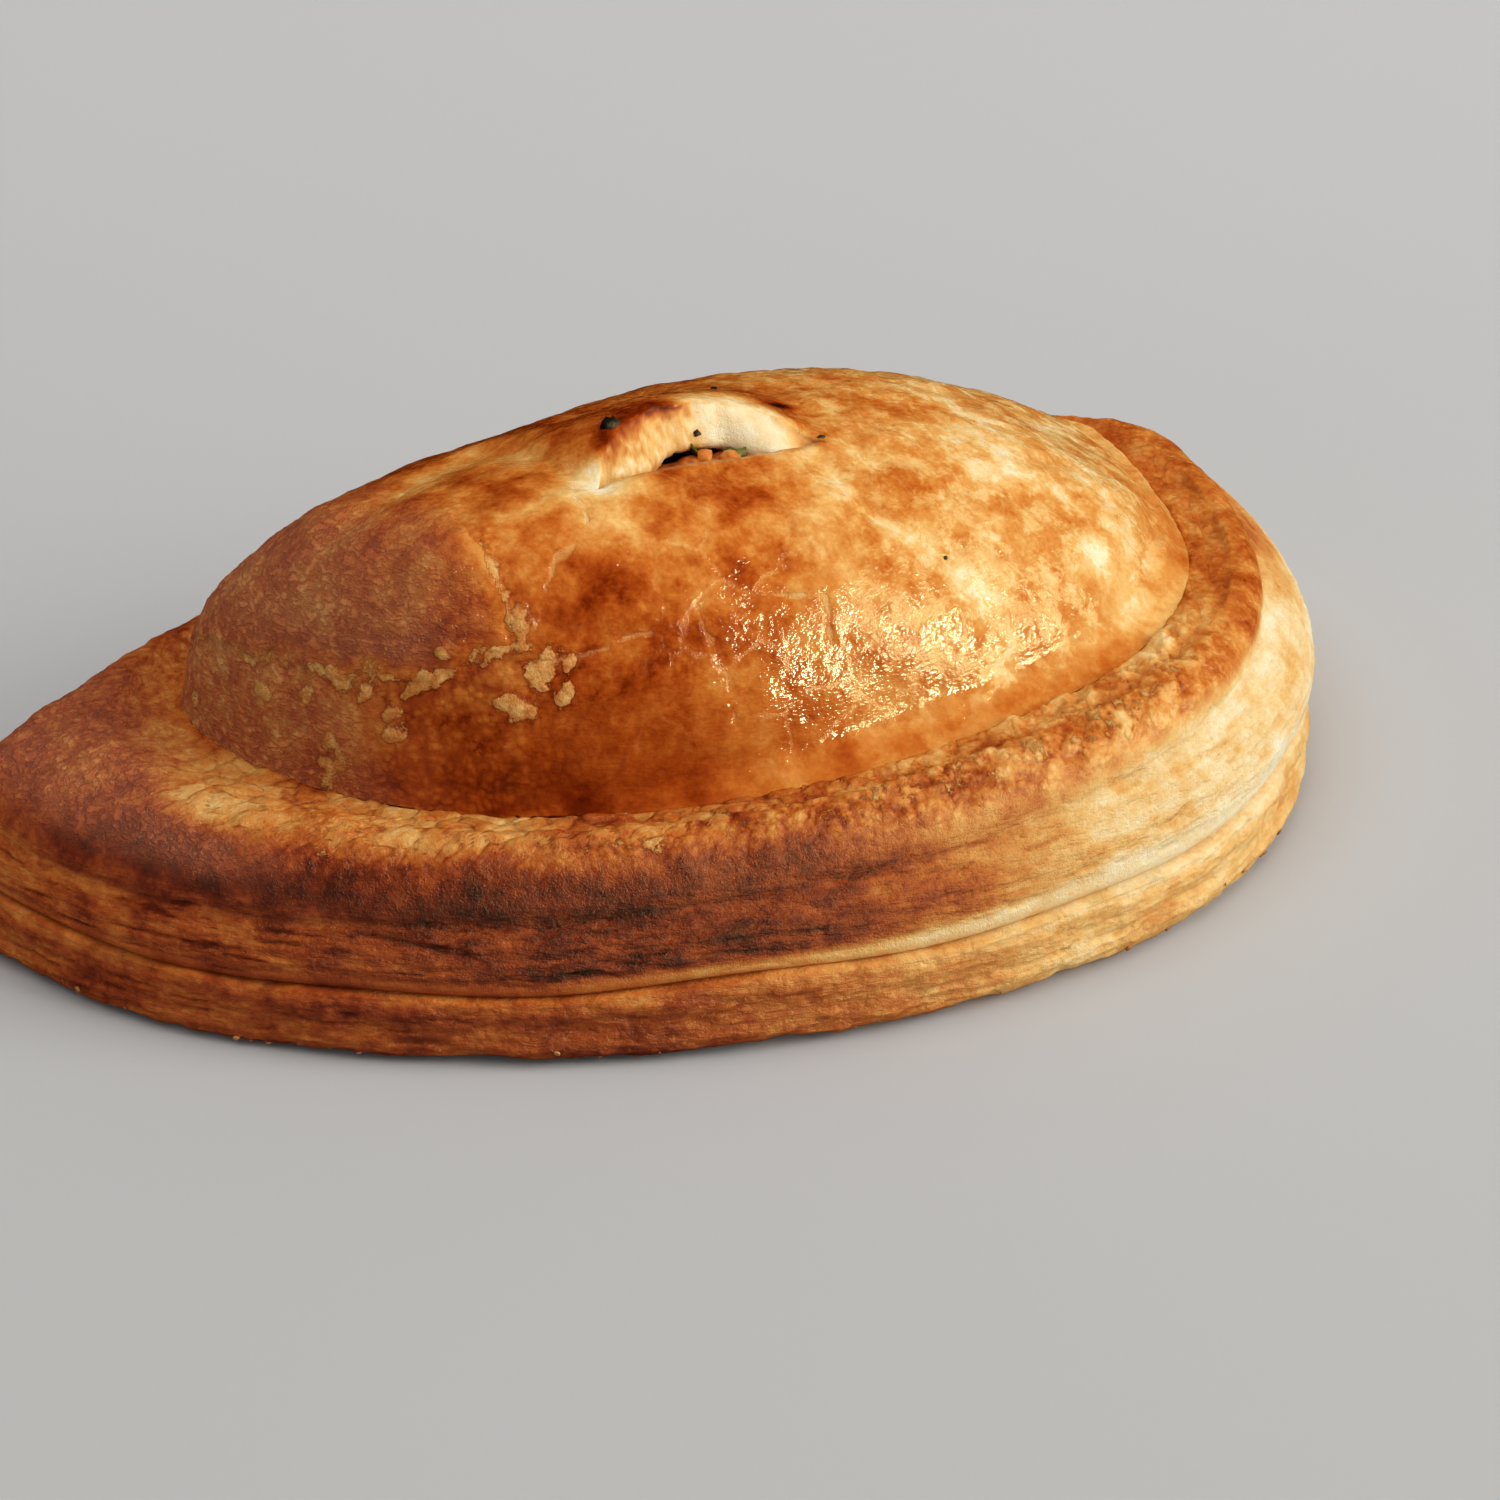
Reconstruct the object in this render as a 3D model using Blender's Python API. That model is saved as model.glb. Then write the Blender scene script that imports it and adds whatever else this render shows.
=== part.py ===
"""A baked vegetable pasty: a half-moon of puff pastry with a puffed lid, a rim, a steam vent and its filling.

X runs from tip to tip, the round front edge faces -Y, and the pasty rests on z = 0. Sizes are in metres.
"""

import math

import bpy
import numpy as np
from mathutils import Vector, noise

# Outline of the pastry sheets, seen from above
TIP_TO_TIP = 0.1805
FRONT_DEPTH = 0.0765
BACK_DEPTH = 0.0275
FULLEST_SHARE = 0.60
LEFT_FRONT_POWER = 1.78
RIGHT_FRONT_POWER = 2.31
LEFT_TIP_ROUNDING = 0.0029
RIGHT_TIP_ROUNDING = 0.0044

# Foot of the puffed lid, where it meets the pressed rim
FOOT_LEFT_X = -0.0610
FOOT_RIGHT_X = 0.0740
FOOT_WIDEST_X = 0.0100
FOOT_MIDDLE_Y = -0.0050
FOOT_FRONT_DEPTH = 0.0548
FOOT_BACK_DEPTH = 0.0235
FOOT_POWERS = (1.95, 2.70, 1.65, 2.10)
FOOT_ROUNDING = 0.0030
FOOT_LEFT_Z = 0.0235
FOOT_RIGHT_Z = 0.0285

# Base sheet, from the tray up to the seam
BASE_LEFT_OUT = 0.0022
BASE_RIGHT_OUT = 0.0028
SEAM_LEFT_Z = 0.0092
SEAM_RIGHT_Z = 0.0108
SEAM_CUT = 0.0018
SEAM_GAPE = 0.0007
SEAM_WAVE = 0.0004
BASE_PROFILE = ((0.0022, 0), (0.0004, 0.10), (0, 0.30), (0.0007, 0.52), (0.0006, 0.72), (0.0016, 0.90))

# Cut edge of the lid sheet, from the seam up to the rounded shoulder
EDGE_FOOT_OUT = 0.0004
EDGE_FRONT_BULGE = 0.0004
EDGE_RIGHT_BULGE = 0.0036
EDGE_BULGE_SHARE = 0.38
SHOULDER_FRONT_LEFT_Z = 0.0158
SHOULDER_FRONT_RIGHT_Z = 0.0245
SHOULDER_BACK_LEFT_Z = 0.0205
SHOULDER_BACK_RIGHT_Z = 0.0245
SHOULDER_LEFT_IN = 0.0018
SHOULDER_RIGHT_IN = 0.0048
LEAF_RELIEF = 0.0004
LEAF_WAVE = 0.0005

# Pressed rim between the shoulder and the foot of the lid
CREST_SHARE = 0.62
CREST_RISE = 0.0014
CREST_LUMP = 0.0009
CREST_LUMP_SIZE = 0.0090

# Puffed lid
LID_RISE = 0.0306
LID_POWER = 2.17
LID_FULLNESS = 0.52
LID_END_FALL = 0.57
LID_PEAK_X = -0.0260
RIDGE_LEFT_X = -0.0335
RIDGE_RIGHT_X = 0.0315
RIDGE_Y = -0.0229
RIDGE_SLANT = 0.25
RIDGE_EASE = 5
LID_LUMP = 0.0010
LUMP_SIZE = 0.0210

# Steam vent: a cut along X whose far lip has curled up, and a crease that runs from each end of the cut
VENT_X = 0.0030
VENT_Y = -0.0275
VENT_LENGTH = 0.0270
VENT_WIDTH = 0.0056
VENT_TURN = math.radians(4)
LIP_HEIGHT = 0.0034
LIP_BACK = 0.0170
LIP_HALF_LENGTH = 0.0165
CREASE_DEPTH = 0.0009
CREASE_WIDTH = 0.0042
LEFT_CREASE = ((-0.0110, -0.0260), (-0.0300, -0.0165), (-0.0470, -0.0180))
RIGHT_CREASE = ((0.0165, -0.0300), (0.0220, -0.0410), (0.0320, -0.0530))

# Room under the lid, and the filling in it
LID_WALL = 0.0060
LID_THICKNESS = 0.0056
ROOM_FLOOR_Z = 0.0105
FILLING_GAP = 0.0003
FILLING_HEADROOM = 0.0016
FILLING_LUMP = 0.0007
FILLING_LUMP_SIZE = 0.0075

# Fineness of the meshes
SPOKES = 112
EDGE_RINGS = 7
SHOULDER_RINGS = 3
RIM_RINGS = 3
LID_RINGS = 11
ROOM_SPOKES = 56
ROOM_RINGS = 7
LOOP_POINTS = 1600
QUARTER_POINTS = 240
MERGE = 0.00005


def clear_scene():
    """Remove whatever the startup scene holds."""
    for found in list(bpy.data.objects):
        bpy.data.objects.remove(found, do_unlink=True)


def blend(low, high, share):
    """Value between low and high at a share from 0 to 1."""
    return low + (high - low) * share


def quarter_curve(reach, depth, power):
    """Points of a quarter of a rounded half-moon, from its end at (reach, 0) to (0, depth)."""
    angle = np.linspace(0, math.pi / 2, QUARTER_POINTS)
    across = np.clip(np.cos(angle), 0, 1) ** (2 / power)
    along = np.clip(np.sin(angle), 0, 1) ** (2 / power)
    return np.column_stack([reach * across, depth * along])


def evenly_spaced(points, count, closed):
    """The same line with its points at equal steps."""
    if closed:
        points = np.vstack([points, points[:1]])
    steps = np.linalg.norm(np.diff(points, axis=0), axis=1)
    length = np.concatenate([[0], np.cumsum(steps)])
    wanted = np.linspace(0, length[-1], count, endpoint=not closed)
    return np.column_stack([np.interp(wanted, length, points[:, axis]) for axis in (0, 1)])


def rounded(loop, radius):
    """The closed loop with its corners eased over about the radius."""
    step = np.linalg.norm(loop[1] - loop[0])
    wave = np.fft.fftfreq(len(loop), 1 / len(loop)) * 2 * math.pi / (len(loop) * step)
    fade = np.exp(-0.5 * (wave * radius) ** 2)
    return np.real(np.fft.ifft(np.fft.fft(loop, axis=0) * fade[:, None], axis=0))


def paired(loop, count):
    """Spokes from the left tip by the front to the right tip and back, as many in front as behind."""
    loop = np.roll(loop, -loop[:, 0].argmin(), axis=0)
    right = loop[:, 0].argmax()
    front = evenly_spaced(loop[: right + 1], count // 2 + 1, False)
    back = evenly_spaced(np.vstack([loop[right:], loop[:1]]), count // 2 + 1, False)
    return np.vstack([front[:-1], back[:-1]])


def sheet_outline(count):
    """Edge of the pastry sheets: a full, rounded front and a gently arched back."""
    half = TIP_TO_TIP / 2
    fullest = (FULLEST_SHARE - 0.5) * TIP_TO_TIP
    left = quarter_curve(fullest + half, FRONT_DEPTH, LEFT_FRONT_POWER)
    right = quarter_curve(half - fullest, FRONT_DEPTH, RIGHT_FRONT_POWER)[::-1]
    front = np.vstack([left * (-1, -1), right[1:] * (1, -1)]) + (fullest, 0)
    back_x = np.linspace(half, -half, 2 * QUARTER_POINTS)
    back = np.column_stack([back_x, BACK_DEPTH * (1 - (back_x / half) ** 2)])
    loop = evenly_spaced(np.vstack([front[:-1], back[:-1]]), LOOP_POINTS, True)
    share = np.clip(loop[:, :1] / TIP_TO_TIP + 0.5, 0, 1)
    return paired(blend(rounded(loop, LEFT_TIP_ROUNDING), rounded(loop, RIGHT_TIP_ROUNDING), share), count)


def lid_foot(count):
    """Line where the puffed lid rises from the rim."""
    left = FOOT_WIDEST_X - FOOT_LEFT_X
    right = FOOT_RIGHT_X - FOOT_WIDEST_X
    front_left, front_right, back_right, back_left = FOOT_POWERS
    quarters = (
        quarter_curve(left, FOOT_FRONT_DEPTH, front_left) * (-1, -1),
        quarter_curve(right, FOOT_FRONT_DEPTH, front_right)[::-1] * (1, -1),
        quarter_curve(right, FOOT_BACK_DEPTH, back_right),
        quarter_curve(left, FOOT_BACK_DEPTH, back_left)[::-1] * (-1, 1),
    )
    loop = np.vstack([quarter[:-1] for quarter in quarters]) + (FOOT_WIDEST_X, FOOT_MIDDLE_Y)
    return paired(rounded(evenly_spaced(loop, LOOP_POINTS, True), FOOT_ROUNDING), count)


def lid_ridge(foot):
    """Point of the ridge line that each spoke runs to; a front spoke and its back one share it."""
    middle = (foot[:, 0] + np.roll(foot[::-1, 0], 1)) / 2
    clipped = np.clip(middle, RIDGE_LEFT_X, RIDGE_RIGHT_X)
    ridge_x = np.mean([np.roll(clipped, shift) for shift in range(-RIDGE_EASE, RIDGE_EASE + 1)], axis=0)
    return np.column_stack([ridge_x, RIDGE_Y + RIDGE_SLANT * ridge_x])


def outward(loop):
    """Unit directions that point out of the closed loop."""
    along = np.roll(loop, -1, axis=0) - np.roll(loop, 1, axis=0)
    along /= np.linalg.norm(along, axis=1, keepdims=True)
    return np.column_stack([along[:, 1], -along[:, 0]])


def from_left(x):
    """Share of the way from the left tip to the right one."""
    return np.clip(x / TIP_TO_TIP + 0.5, 0, 1)


def soft_noise(points, size, seed):
    """Smooth unevenness from -1 to 1 with lumps of about the size."""
    shift = Vector((seed * 7.3, seed * 3.1, seed * 5.7))
    return np.array([noise.noise(Vector(point) / size + shift) for point in points])


def distance_to_line(points, line):
    """Distance in plan from each point to a line of several straight runs."""
    nearest = np.full(len(points), np.inf)
    for start, end in zip(np.array(line[:-1]), np.array(line[1:])):
        run = end - start
        share = np.clip((points - start) @ run / (run @ run), 0, 1)
        nearest = np.minimum(nearest, np.linalg.norm(points - start - share[:, None] * run, axis=1))
    return nearest


def vent_frame(points):
    """Place of plan points along the vent and behind it."""
    along = np.array([math.cos(VENT_TURN), math.sin(VENT_TURN)])
    away = points - (VENT_X, VENT_Y)
    return away @ along, away @ np.array([-along[1], along[0]])


def vent_relief(points):
    """Height that the curled lip and the two creases add to the lid."""
    along, behind = vent_frame(points)
    window = np.clip(1 - (along / LIP_HALF_LENGTH) ** 2, 0, 1)
    rise = np.clip(behind / VENT_WIDTH + 0.5, 0, 1) * np.clip(1 - behind / LIP_BACK, 0, 1)
    relief = LIP_HEIGHT * window * rise
    for line in (LEFT_CREASE, RIGHT_CREASE):
        relief -= CREASE_DEPTH * np.exp(-((distance_to_line(points, line) / CREASE_WIDTH) ** 2))
    return relief


def lid_height(plan, share):
    """Smooth height of the lid: share is 1 at its foot and 0 at its ridge."""
    foot_z = blend(FOOT_LEFT_Z, FOOT_RIGHT_Z, from_left(plan[:, 0]))
    fall = 1 - LID_END_FALL * ((plan[:, 0] - LID_PEAK_X) / (TIP_TO_TIP / 2)) ** 2
    return foot_z + LID_RISE * fall * (1 - share**LID_POWER) ** LID_FULLNESS


def ring(plan, height):
    """One closed ring of points at the height, a number or one per spoke."""
    return np.column_stack([plan, np.broadcast_to(height, len(plan))])


def crust_rings():
    """Rings of the whole outside, from under the base, up the layered side and over the rim to the ridge."""
    edge = sheet_outline(SPOKES)
    out = outward(edge)
    foot = lid_foot(SPOKES)
    ridge = lid_ridge(foot)
    share_x = from_left(edge[:, 0])
    front = 0.5 - 0.5 * np.tanh(3 * out[:, 1])
    around = np.arange(SPOKES) / SPOKES * 2 * math.pi

    def pushed(amount, height):
        return ring(edge + out * np.broadcast_to(amount, SPOKES)[:, None], height)

    rings = []
    base_out = blend(BASE_LEFT_OUT, BASE_RIGHT_OUT, share_x)
    seam_wave = SEAM_WAVE * (np.sin(5 * around + 1) + np.sin(11 * around))
    seam_z = blend(SEAM_LEFT_Z, SEAM_RIGHT_Z, share_x) + seam_wave
    for tuck, rise in BASE_PROFILE:
        rings.append(pushed(base_out - tuck, seam_z * rise))
    rings.append(pushed(-EDGE_FOOT_OUT - SEAM_CUT, seam_z - SEAM_GAPE / 2))
    rings.append(pushed(-EDGE_FOOT_OUT - SEAM_CUT, seam_z + SEAM_GAPE / 2))

    front_z = blend(SHOULDER_FRONT_LEFT_Z, SHOULDER_FRONT_RIGHT_Z, share_x)
    back_z = blend(SHOULDER_BACK_LEFT_Z, SHOULDER_BACK_RIGHT_Z, share_x)
    shoulder_z = blend(back_z, front_z, front)
    shoulder_in = blend(SHOULDER_LEFT_IN, SHOULDER_RIGHT_IN, share_x)
    bulge = blend(EDGE_FRONT_BULGE, EDGE_RIGHT_BULGE, np.clip(out[:, 0], 0, 1) ** 1.5)
    to_widest = math.log(0.5) / math.log(EDGE_BULGE_SHARE)
    foot_z = seam_z + 2 * SEAM_GAPE
    for step in range(EDGE_RINGS):
        up = step / (EDGE_RINGS - 1)
        swell = math.sin(math.pi * up**to_widest)
        profile = blend(EDGE_FOOT_OUT, -shoulder_in, up**2) + bulge * swell
        leaf = LEAF_RELIEF * (-1) ** step + LEAF_WAVE * np.sin((4 + step) * around + 2 * step)
        rings.append(pushed(profile + leaf, blend(foot_z, shoulder_z, up)))

    run = foot - edge
    width = np.linalg.norm(run, axis=1)
    crest_z = blend(FOOT_LEFT_Z, FOOT_RIGHT_Z, from_left(foot[:, 0])) + CREST_RISE
    start = np.clip(shoulder_in / width, 0, CREST_SHARE * 0.7)
    for step in range(1, SHOULDER_RINGS + 1):
        turn = step / SHOULDER_RINGS * math.pi / 2
        plan = edge + run * blend(start, CREST_SHARE, 1 - math.cos(turn))[:, None]
        lump = CREST_LUMP * soft_noise(ring(plan, 0), CREST_LUMP_SIZE, 2) * math.sin(turn)
        rings.append(ring(plan, blend(shoulder_z, crest_z, math.sin(turn)) + lump))
    for step in range(1, RIM_RINGS):
        up = step / RIM_RINGS
        plan = edge + run * blend(CREST_SHARE, 1, up)
        lump = CREST_LUMP * soft_noise(ring(plan, 0), CREST_LUMP_SIZE, 3) * (1 - up)
        rings.append(ring(plan, crest_z - CREST_RISE * math.sin(up * math.pi / 2) + lump))

    for step in range(LID_RINGS + 1):
        share = 1 - step / LID_RINGS
        plan = ridge + (foot - ridge) * share
        swell = LID_LUMP * soft_noise(ring(plan, 0), LUMP_SIZE, 5) * (1 - share**6)
        rings.append(ring(plan, lid_height(plan, np.full(SPOKES, share)) + swell + vent_relief(plan)))
    return rings


def room_rings(inset, drop, floor_z, lump):
    """Rings of the room under the lid; the filling takes the same shape, set in and lower."""
    foot = lid_foot(ROOM_SPOKES)
    ridge = lid_ridge(foot)
    run = foot - ridge
    wall_share = 1 - inset / np.linalg.norm(run, axis=1)
    rings = [ring(ridge + run * wall_share[:, None], floor_z)]
    for step in range(ROOM_RINGS + 1):
        share = wall_share * (1 - step / ROOM_RINGS)
        plan = ridge + run * share[:, None]
        bumps = lump * soft_noise(ring(plan, 0), FILLING_LUMP_SIZE, 8)
        rings.append(ring(plan, lid_height(plan, share) - drop + bumps))
    return rings


def middle_of(points):
    """Middle of the points seen from above, which becomes the origin."""
    middle = (points.min(axis=0) + points.max(axis=0)) / 2
    middle[2] = 0
    return middle


def solid_from_rings(name, rings, middle):
    """Closed mesh object: a flat cap under the first ring, and the last ring drawn together on the ridge."""
    count = len(rings[0])
    faces = [tuple(reversed(range(count)))]
    for level in range(len(rings) - 1):
        low = level * count
        for spoke in range(count):
            after = (spoke + 1) % count
            faces.append((low + spoke, low + after, low + count + after, low + count + spoke))
    mesh = bpy.data.meshes.new(name)
    mesh.from_pydata((np.vstack(rings) - middle).tolist(), [], faces)
    mesh.validate()
    solid = bpy.data.objects.new(name, mesh)
    bpy.context.collection.objects.link(solid)
    weld = solid.modifiers.new("Weld", "WELD")
    weld.merge_threshold = MERGE
    return solid


def vent_cutter(middle):
    """Upright lens that cuts the vent through the lid."""
    half_length = VENT_LENGTH / 2
    side_x = np.linspace(-half_length, half_length, 9)
    side_y = VENT_WIDTH / 2 * (1 - (side_x / half_length) ** 2)
    loop = np.vstack([np.column_stack([side_x, -side_y]), np.column_stack([side_x, side_y])[-2:0:-1]])
    turn = np.array([[math.cos(VENT_TURN), math.sin(VENT_TURN)], [-math.sin(VENT_TURN), math.cos(VENT_TURN)]])
    plan = loop @ turn + (VENT_X, VENT_Y)
    count = len(plan)
    points = np.vstack([ring(plan, FOOT_RIGHT_Z + LID_RISE / 3), ring(plan, FOOT_RIGHT_Z + 2 * LID_RISE)])
    faces = [tuple(reversed(range(count))), tuple(range(count, 2 * count))]
    faces += [(i, (i + 1) % count, count + (i + 1) % count, count + i) for i in range(count)]
    mesh = bpy.data.meshes.new("vent_cutter")
    mesh.from_pydata((points - middle).tolist(), [], faces)
    cutter = bpy.data.objects.new("vent_cutter", mesh)
    bpy.context.collection.objects.link(cutter)
    return cutter


def cut_away(solid, cutter):
    """Take the cutter's shape out of the solid, and keep the cutter out of the picture."""
    cut = solid.modifiers.new("Cut " + cutter.name, "BOOLEAN")
    cut.operation = "DIFFERENCE"
    cut.solver = "EXACT"
    cut.object = cutter
    cutter.hide_render = True
    cutter.display_type = "WIRE"


def dress(solid, name, colour, roughness):
    """Give the solid its own plain material and round its shading."""
    material = bpy.data.materials.new(name)
    material.use_nodes = True
    shader = material.node_tree.nodes["Principled BSDF"]
    shader.inputs["Base Color"].default_value = (*colour, 1)
    shader.inputs["Roughness"].default_value = roughness
    shader.inputs["Metallic"].default_value = 0
    solid.data.materials.append(material)
    for face in solid.data.polygons:
        face.use_smooth = True


def main():
    """Build the crust with its room and vent, then the filling inside."""
    clear_scene()
    outside = crust_rings()
    middle = middle_of(np.vstack(outside))
    room = room_rings(LID_WALL, LID_THICKNESS, ROOM_FLOOR_Z, 0)
    lower = LID_THICKNESS + FILLING_HEADROOM
    heap = room_rings(LID_WALL + 2 * FILLING_GAP, lower, ROOM_FLOOR_Z + FILLING_GAP, FILLING_LUMP)
    crust = solid_from_rings("crust", outside, middle)
    cut_away(crust, solid_from_rings("room_cutter", room, middle))
    cut_away(crust, vent_cutter(middle))
    filling = solid_from_rings("filling", heap, middle)
    dress(crust, "baked pastry", (0.52, 0.21, 0.045), 0.42)
    dress(filling, "vegetable filling", (0.19, 0.11, 0.02), 0.5)


main()
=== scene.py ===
# %% [markdown]
# # A baked vegetable pasty
# Two half-moons of puff pastry hold a vegetable filling. The rims were pressed together, the lid puffed up
# in the oven and split at its steam vent, and the cut edges opened into leaves. Each piece below stands for
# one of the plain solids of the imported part, keeps its form, and adds what the oven did to it. The packed
# part comes first, because every size that follows is in its frame.

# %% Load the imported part
import math
from functools import partial

import bpy
import numpy as np
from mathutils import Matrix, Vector, noise
from mathutils.bvhtree import BVHTree


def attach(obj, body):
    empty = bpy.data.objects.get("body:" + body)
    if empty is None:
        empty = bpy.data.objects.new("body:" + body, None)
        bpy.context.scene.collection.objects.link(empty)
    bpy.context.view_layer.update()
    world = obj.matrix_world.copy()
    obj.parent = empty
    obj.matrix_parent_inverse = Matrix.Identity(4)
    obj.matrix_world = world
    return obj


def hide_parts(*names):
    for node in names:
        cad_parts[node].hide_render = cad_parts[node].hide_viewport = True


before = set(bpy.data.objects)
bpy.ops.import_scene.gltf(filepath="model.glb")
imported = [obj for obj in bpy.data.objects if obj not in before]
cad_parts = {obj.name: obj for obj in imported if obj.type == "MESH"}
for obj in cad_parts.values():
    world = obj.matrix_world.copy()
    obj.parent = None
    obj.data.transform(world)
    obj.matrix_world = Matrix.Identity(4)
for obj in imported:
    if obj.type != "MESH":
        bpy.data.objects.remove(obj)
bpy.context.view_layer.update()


def mm(metres):
    """Metres as rounded millimetres, for the printed lines."""
    return np.round(np.array(metres) * 1000, 1).tolist()


# %% [markdown]
# ## The plan of the pastry
# Seen from above, the sheets have a full, rounded front and a gently arched back, and the puffed lid stands
# on a smaller outline of the same kind. Both are drawn from the same named sizes as the solids, so the
# dressed pieces follow them. The drawings have an origin of their own, and MIDDLE moves a finished piece
# onto the part.

# %% Shares, steps and bands
def blend(low, high, share):
    """Value between low and high at a share from 0 to 1."""
    return low + (high - low) * share


def smooth(value, low, high):
    """Soft step from 0 at low to 1 at high."""
    share = np.clip((value - low) / (high - low), 0, 1)
    return share * share * (3 - 2 * share)


def fade(value, low, high):
    """Soft step from 1 at low to 0 at high."""
    return 1 - smooth(value, low, high)


def band(value, low, full, last, high):
    """1 from full to last, with a soft step at each end."""
    return smooth(value, low, full) * fade(value, last, high)


def bell(value, width, power=2):
    """1 at 0, falling to nothing a little beyond the width."""
    return np.exp(-((value / width) ** power))


print("half way up a soft step:", smooth(0.5, 0, 1))

# %% Outline of the pastry sheets
MIDDLE = np.array([0.00071097, -0.02451857, 0])
TIP_TO_TIP = 0.1805
FRONT_DEPTH, BACK_DEPTH = 0.0765, 0.0275
FULLEST_SHARE = 0.60
FRONT_POWERS = (1.78, 2.31)
TIP_ROUNDINGS = (0.0029, 0.0044)
LOOP_POINTS, QUARTER_POINTS = 1600, 240


def quarter_curve(reach, depth, power):
    """Points of a quarter of a rounded half-moon, from its end at (reach, 0) to (0, depth)."""
    angle = np.linspace(0, math.pi / 2, QUARTER_POINTS)
    across = np.clip(np.cos(angle), 0, 1) ** (2 / power)
    return np.column_stack([reach * across, depth * np.clip(np.sin(angle), 0, 1) ** (2 / power)])


def evenly_spaced(points, count, closed):
    """The same line with its points at equal steps."""
    if closed:
        points = np.vstack([points, points[:1]])
    length = np.concatenate([[0], np.cumsum(np.linalg.norm(np.diff(points, axis=0), axis=1))])
    wanted = np.linspace(0, length[-1], count, endpoint=not closed)
    return np.column_stack([np.interp(wanted, length, points[:, axis]) for axis in (0, 1)])


def rounded(loop, radius):
    """The closed loop with its corners eased over about the radius."""
    step = np.linalg.norm(loop[1] - loop[0])
    wave = np.fft.fftfreq(len(loop), 1 / len(loop)) * 2 * math.pi / (len(loop) * step)
    kept_share = np.exp(-0.5 * (wave * radius) ** 2)
    return np.real(np.fft.ifft(np.fft.fft(loop, axis=0) * kept_share[:, None], axis=0))


def paired(loop, count):
    """Spokes from the left tip by the front to the right tip and back, as many in front as behind."""
    loop = np.roll(loop, -loop[:, 0].argmin(), axis=0)
    right = loop[:, 0].argmax()
    front = evenly_spaced(loop[: right + 1], count // 2 + 1, False)
    back = evenly_spaced(np.vstack([loop[right:], loop[:1]]), count // 2 + 1, False)
    return np.vstack([front[:-1], back[:-1]])


def from_left(x):
    """Share of the way from the left tip to the right one."""
    return np.clip(x / TIP_TO_TIP + 0.5, 0, 1)


def sheet_outline(count):
    """Edge of the pastry sheets."""
    half = TIP_TO_TIP / 2
    fullest = (FULLEST_SHARE - 0.5) * TIP_TO_TIP
    left = quarter_curve(fullest + half, FRONT_DEPTH, FRONT_POWERS[0])
    right = quarter_curve(half - fullest, FRONT_DEPTH, FRONT_POWERS[1])[::-1]
    front = np.vstack([left * (-1, -1), right[1:] * (1, -1)]) + (fullest, 0)
    back_x = np.linspace(half, -half, 2 * QUARTER_POINTS)
    back = np.column_stack([back_x, BACK_DEPTH * (1 - (back_x / half) ** 2)])
    loop = evenly_spaced(np.vstack([front[:-1], back[:-1]]), LOOP_POINTS, True)
    blended = blend(rounded(loop, TIP_ROUNDINGS[0]), rounded(loop, TIP_ROUNDINGS[1]), from_left(loop[:, :1]))
    return paired(blended, count)


def outward(loop):
    """Unit directions that point out of the closed loop."""
    along = np.roll(loop, -1, axis=0) - np.roll(loop, 1, axis=0)
    along /= np.linalg.norm(along, axis=1, keepdims=True)
    return np.column_stack([along[:, 1], -along[:, 0]])


print("outline from tip to tip, mm:", mm(np.ptp(sheet_outline(400)[:, 0])))

# %% Foot, ridge and height of the puffed lid
FOOT_ENDS = (-0.0610, 0.0740)
FOOT_MIDDLE = (0.0100, -0.0050)
FOOT_DEPTHS = (0.0548, 0.0235)
FOOT_POWERS = (1.95, 2.70, 1.65, 2.10)
FOOT_ROUNDING = 0.0030
FOOT_HEIGHTS = (0.0235, 0.0285)
LID_RISE, LID_POWER, LID_FULLNESS = 0.0306, 2.17, 0.52
LID_END_FALL, LID_PEAK_X = 0.57, -0.0260
RIDGE_ENDS, RIDGE_Y, RIDGE_SLANT, RIDGE_EASE = (-0.0335, 0.0315), -0.0229, 0.25, 5 / 112
CHANNEL_WIDTHS = (0.022, 0.075, 0.125)
CHANNEL_RISE, CHANNEL_EASES = 0.0028, (1.8, 9.0)


def lid_foot(count):
    """Line where the puffed lid rises from the rim."""
    left, right = FOOT_MIDDLE[0] - FOOT_ENDS[0], FOOT_ENDS[1] - FOOT_MIDDLE[0]
    quarters = (
        quarter_curve(left, FOOT_DEPTHS[0], FOOT_POWERS[0]) * (-1, -1),
        quarter_curve(right, FOOT_DEPTHS[0], FOOT_POWERS[1])[::-1] * (1, -1),
        quarter_curve(right, FOOT_DEPTHS[1], FOOT_POWERS[2]),
        quarter_curve(left, FOOT_DEPTHS[1], FOOT_POWERS[3])[::-1] * (-1, 1),
    )
    loop = np.vstack([quarter[:-1] for quarter in quarters]) + FOOT_MIDDLE
    return paired(rounded(evenly_spaced(loop, LOOP_POINTS, True), FOOT_ROUNDING), count)


def lid_ridge(foot):
    """Point of the ridge line that each spoke runs to; a front spoke and its back one share it."""
    clipped = np.clip((foot[:, 0] + np.roll(foot[::-1, 0], 1)) / 2, *RIDGE_ENDS)
    ease = round(RIDGE_EASE * len(foot))
    ridge_x = np.mean([np.roll(clipped, shift) for shift in range(-ease, ease + 1)], axis=0)
    ridge_x = (ridge_x + np.roll(ridge_x[::-1], 1)) / 2
    return np.column_stack([ridge_x, RIDGE_Y + RIDGE_SLANT * ridge_x])


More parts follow.
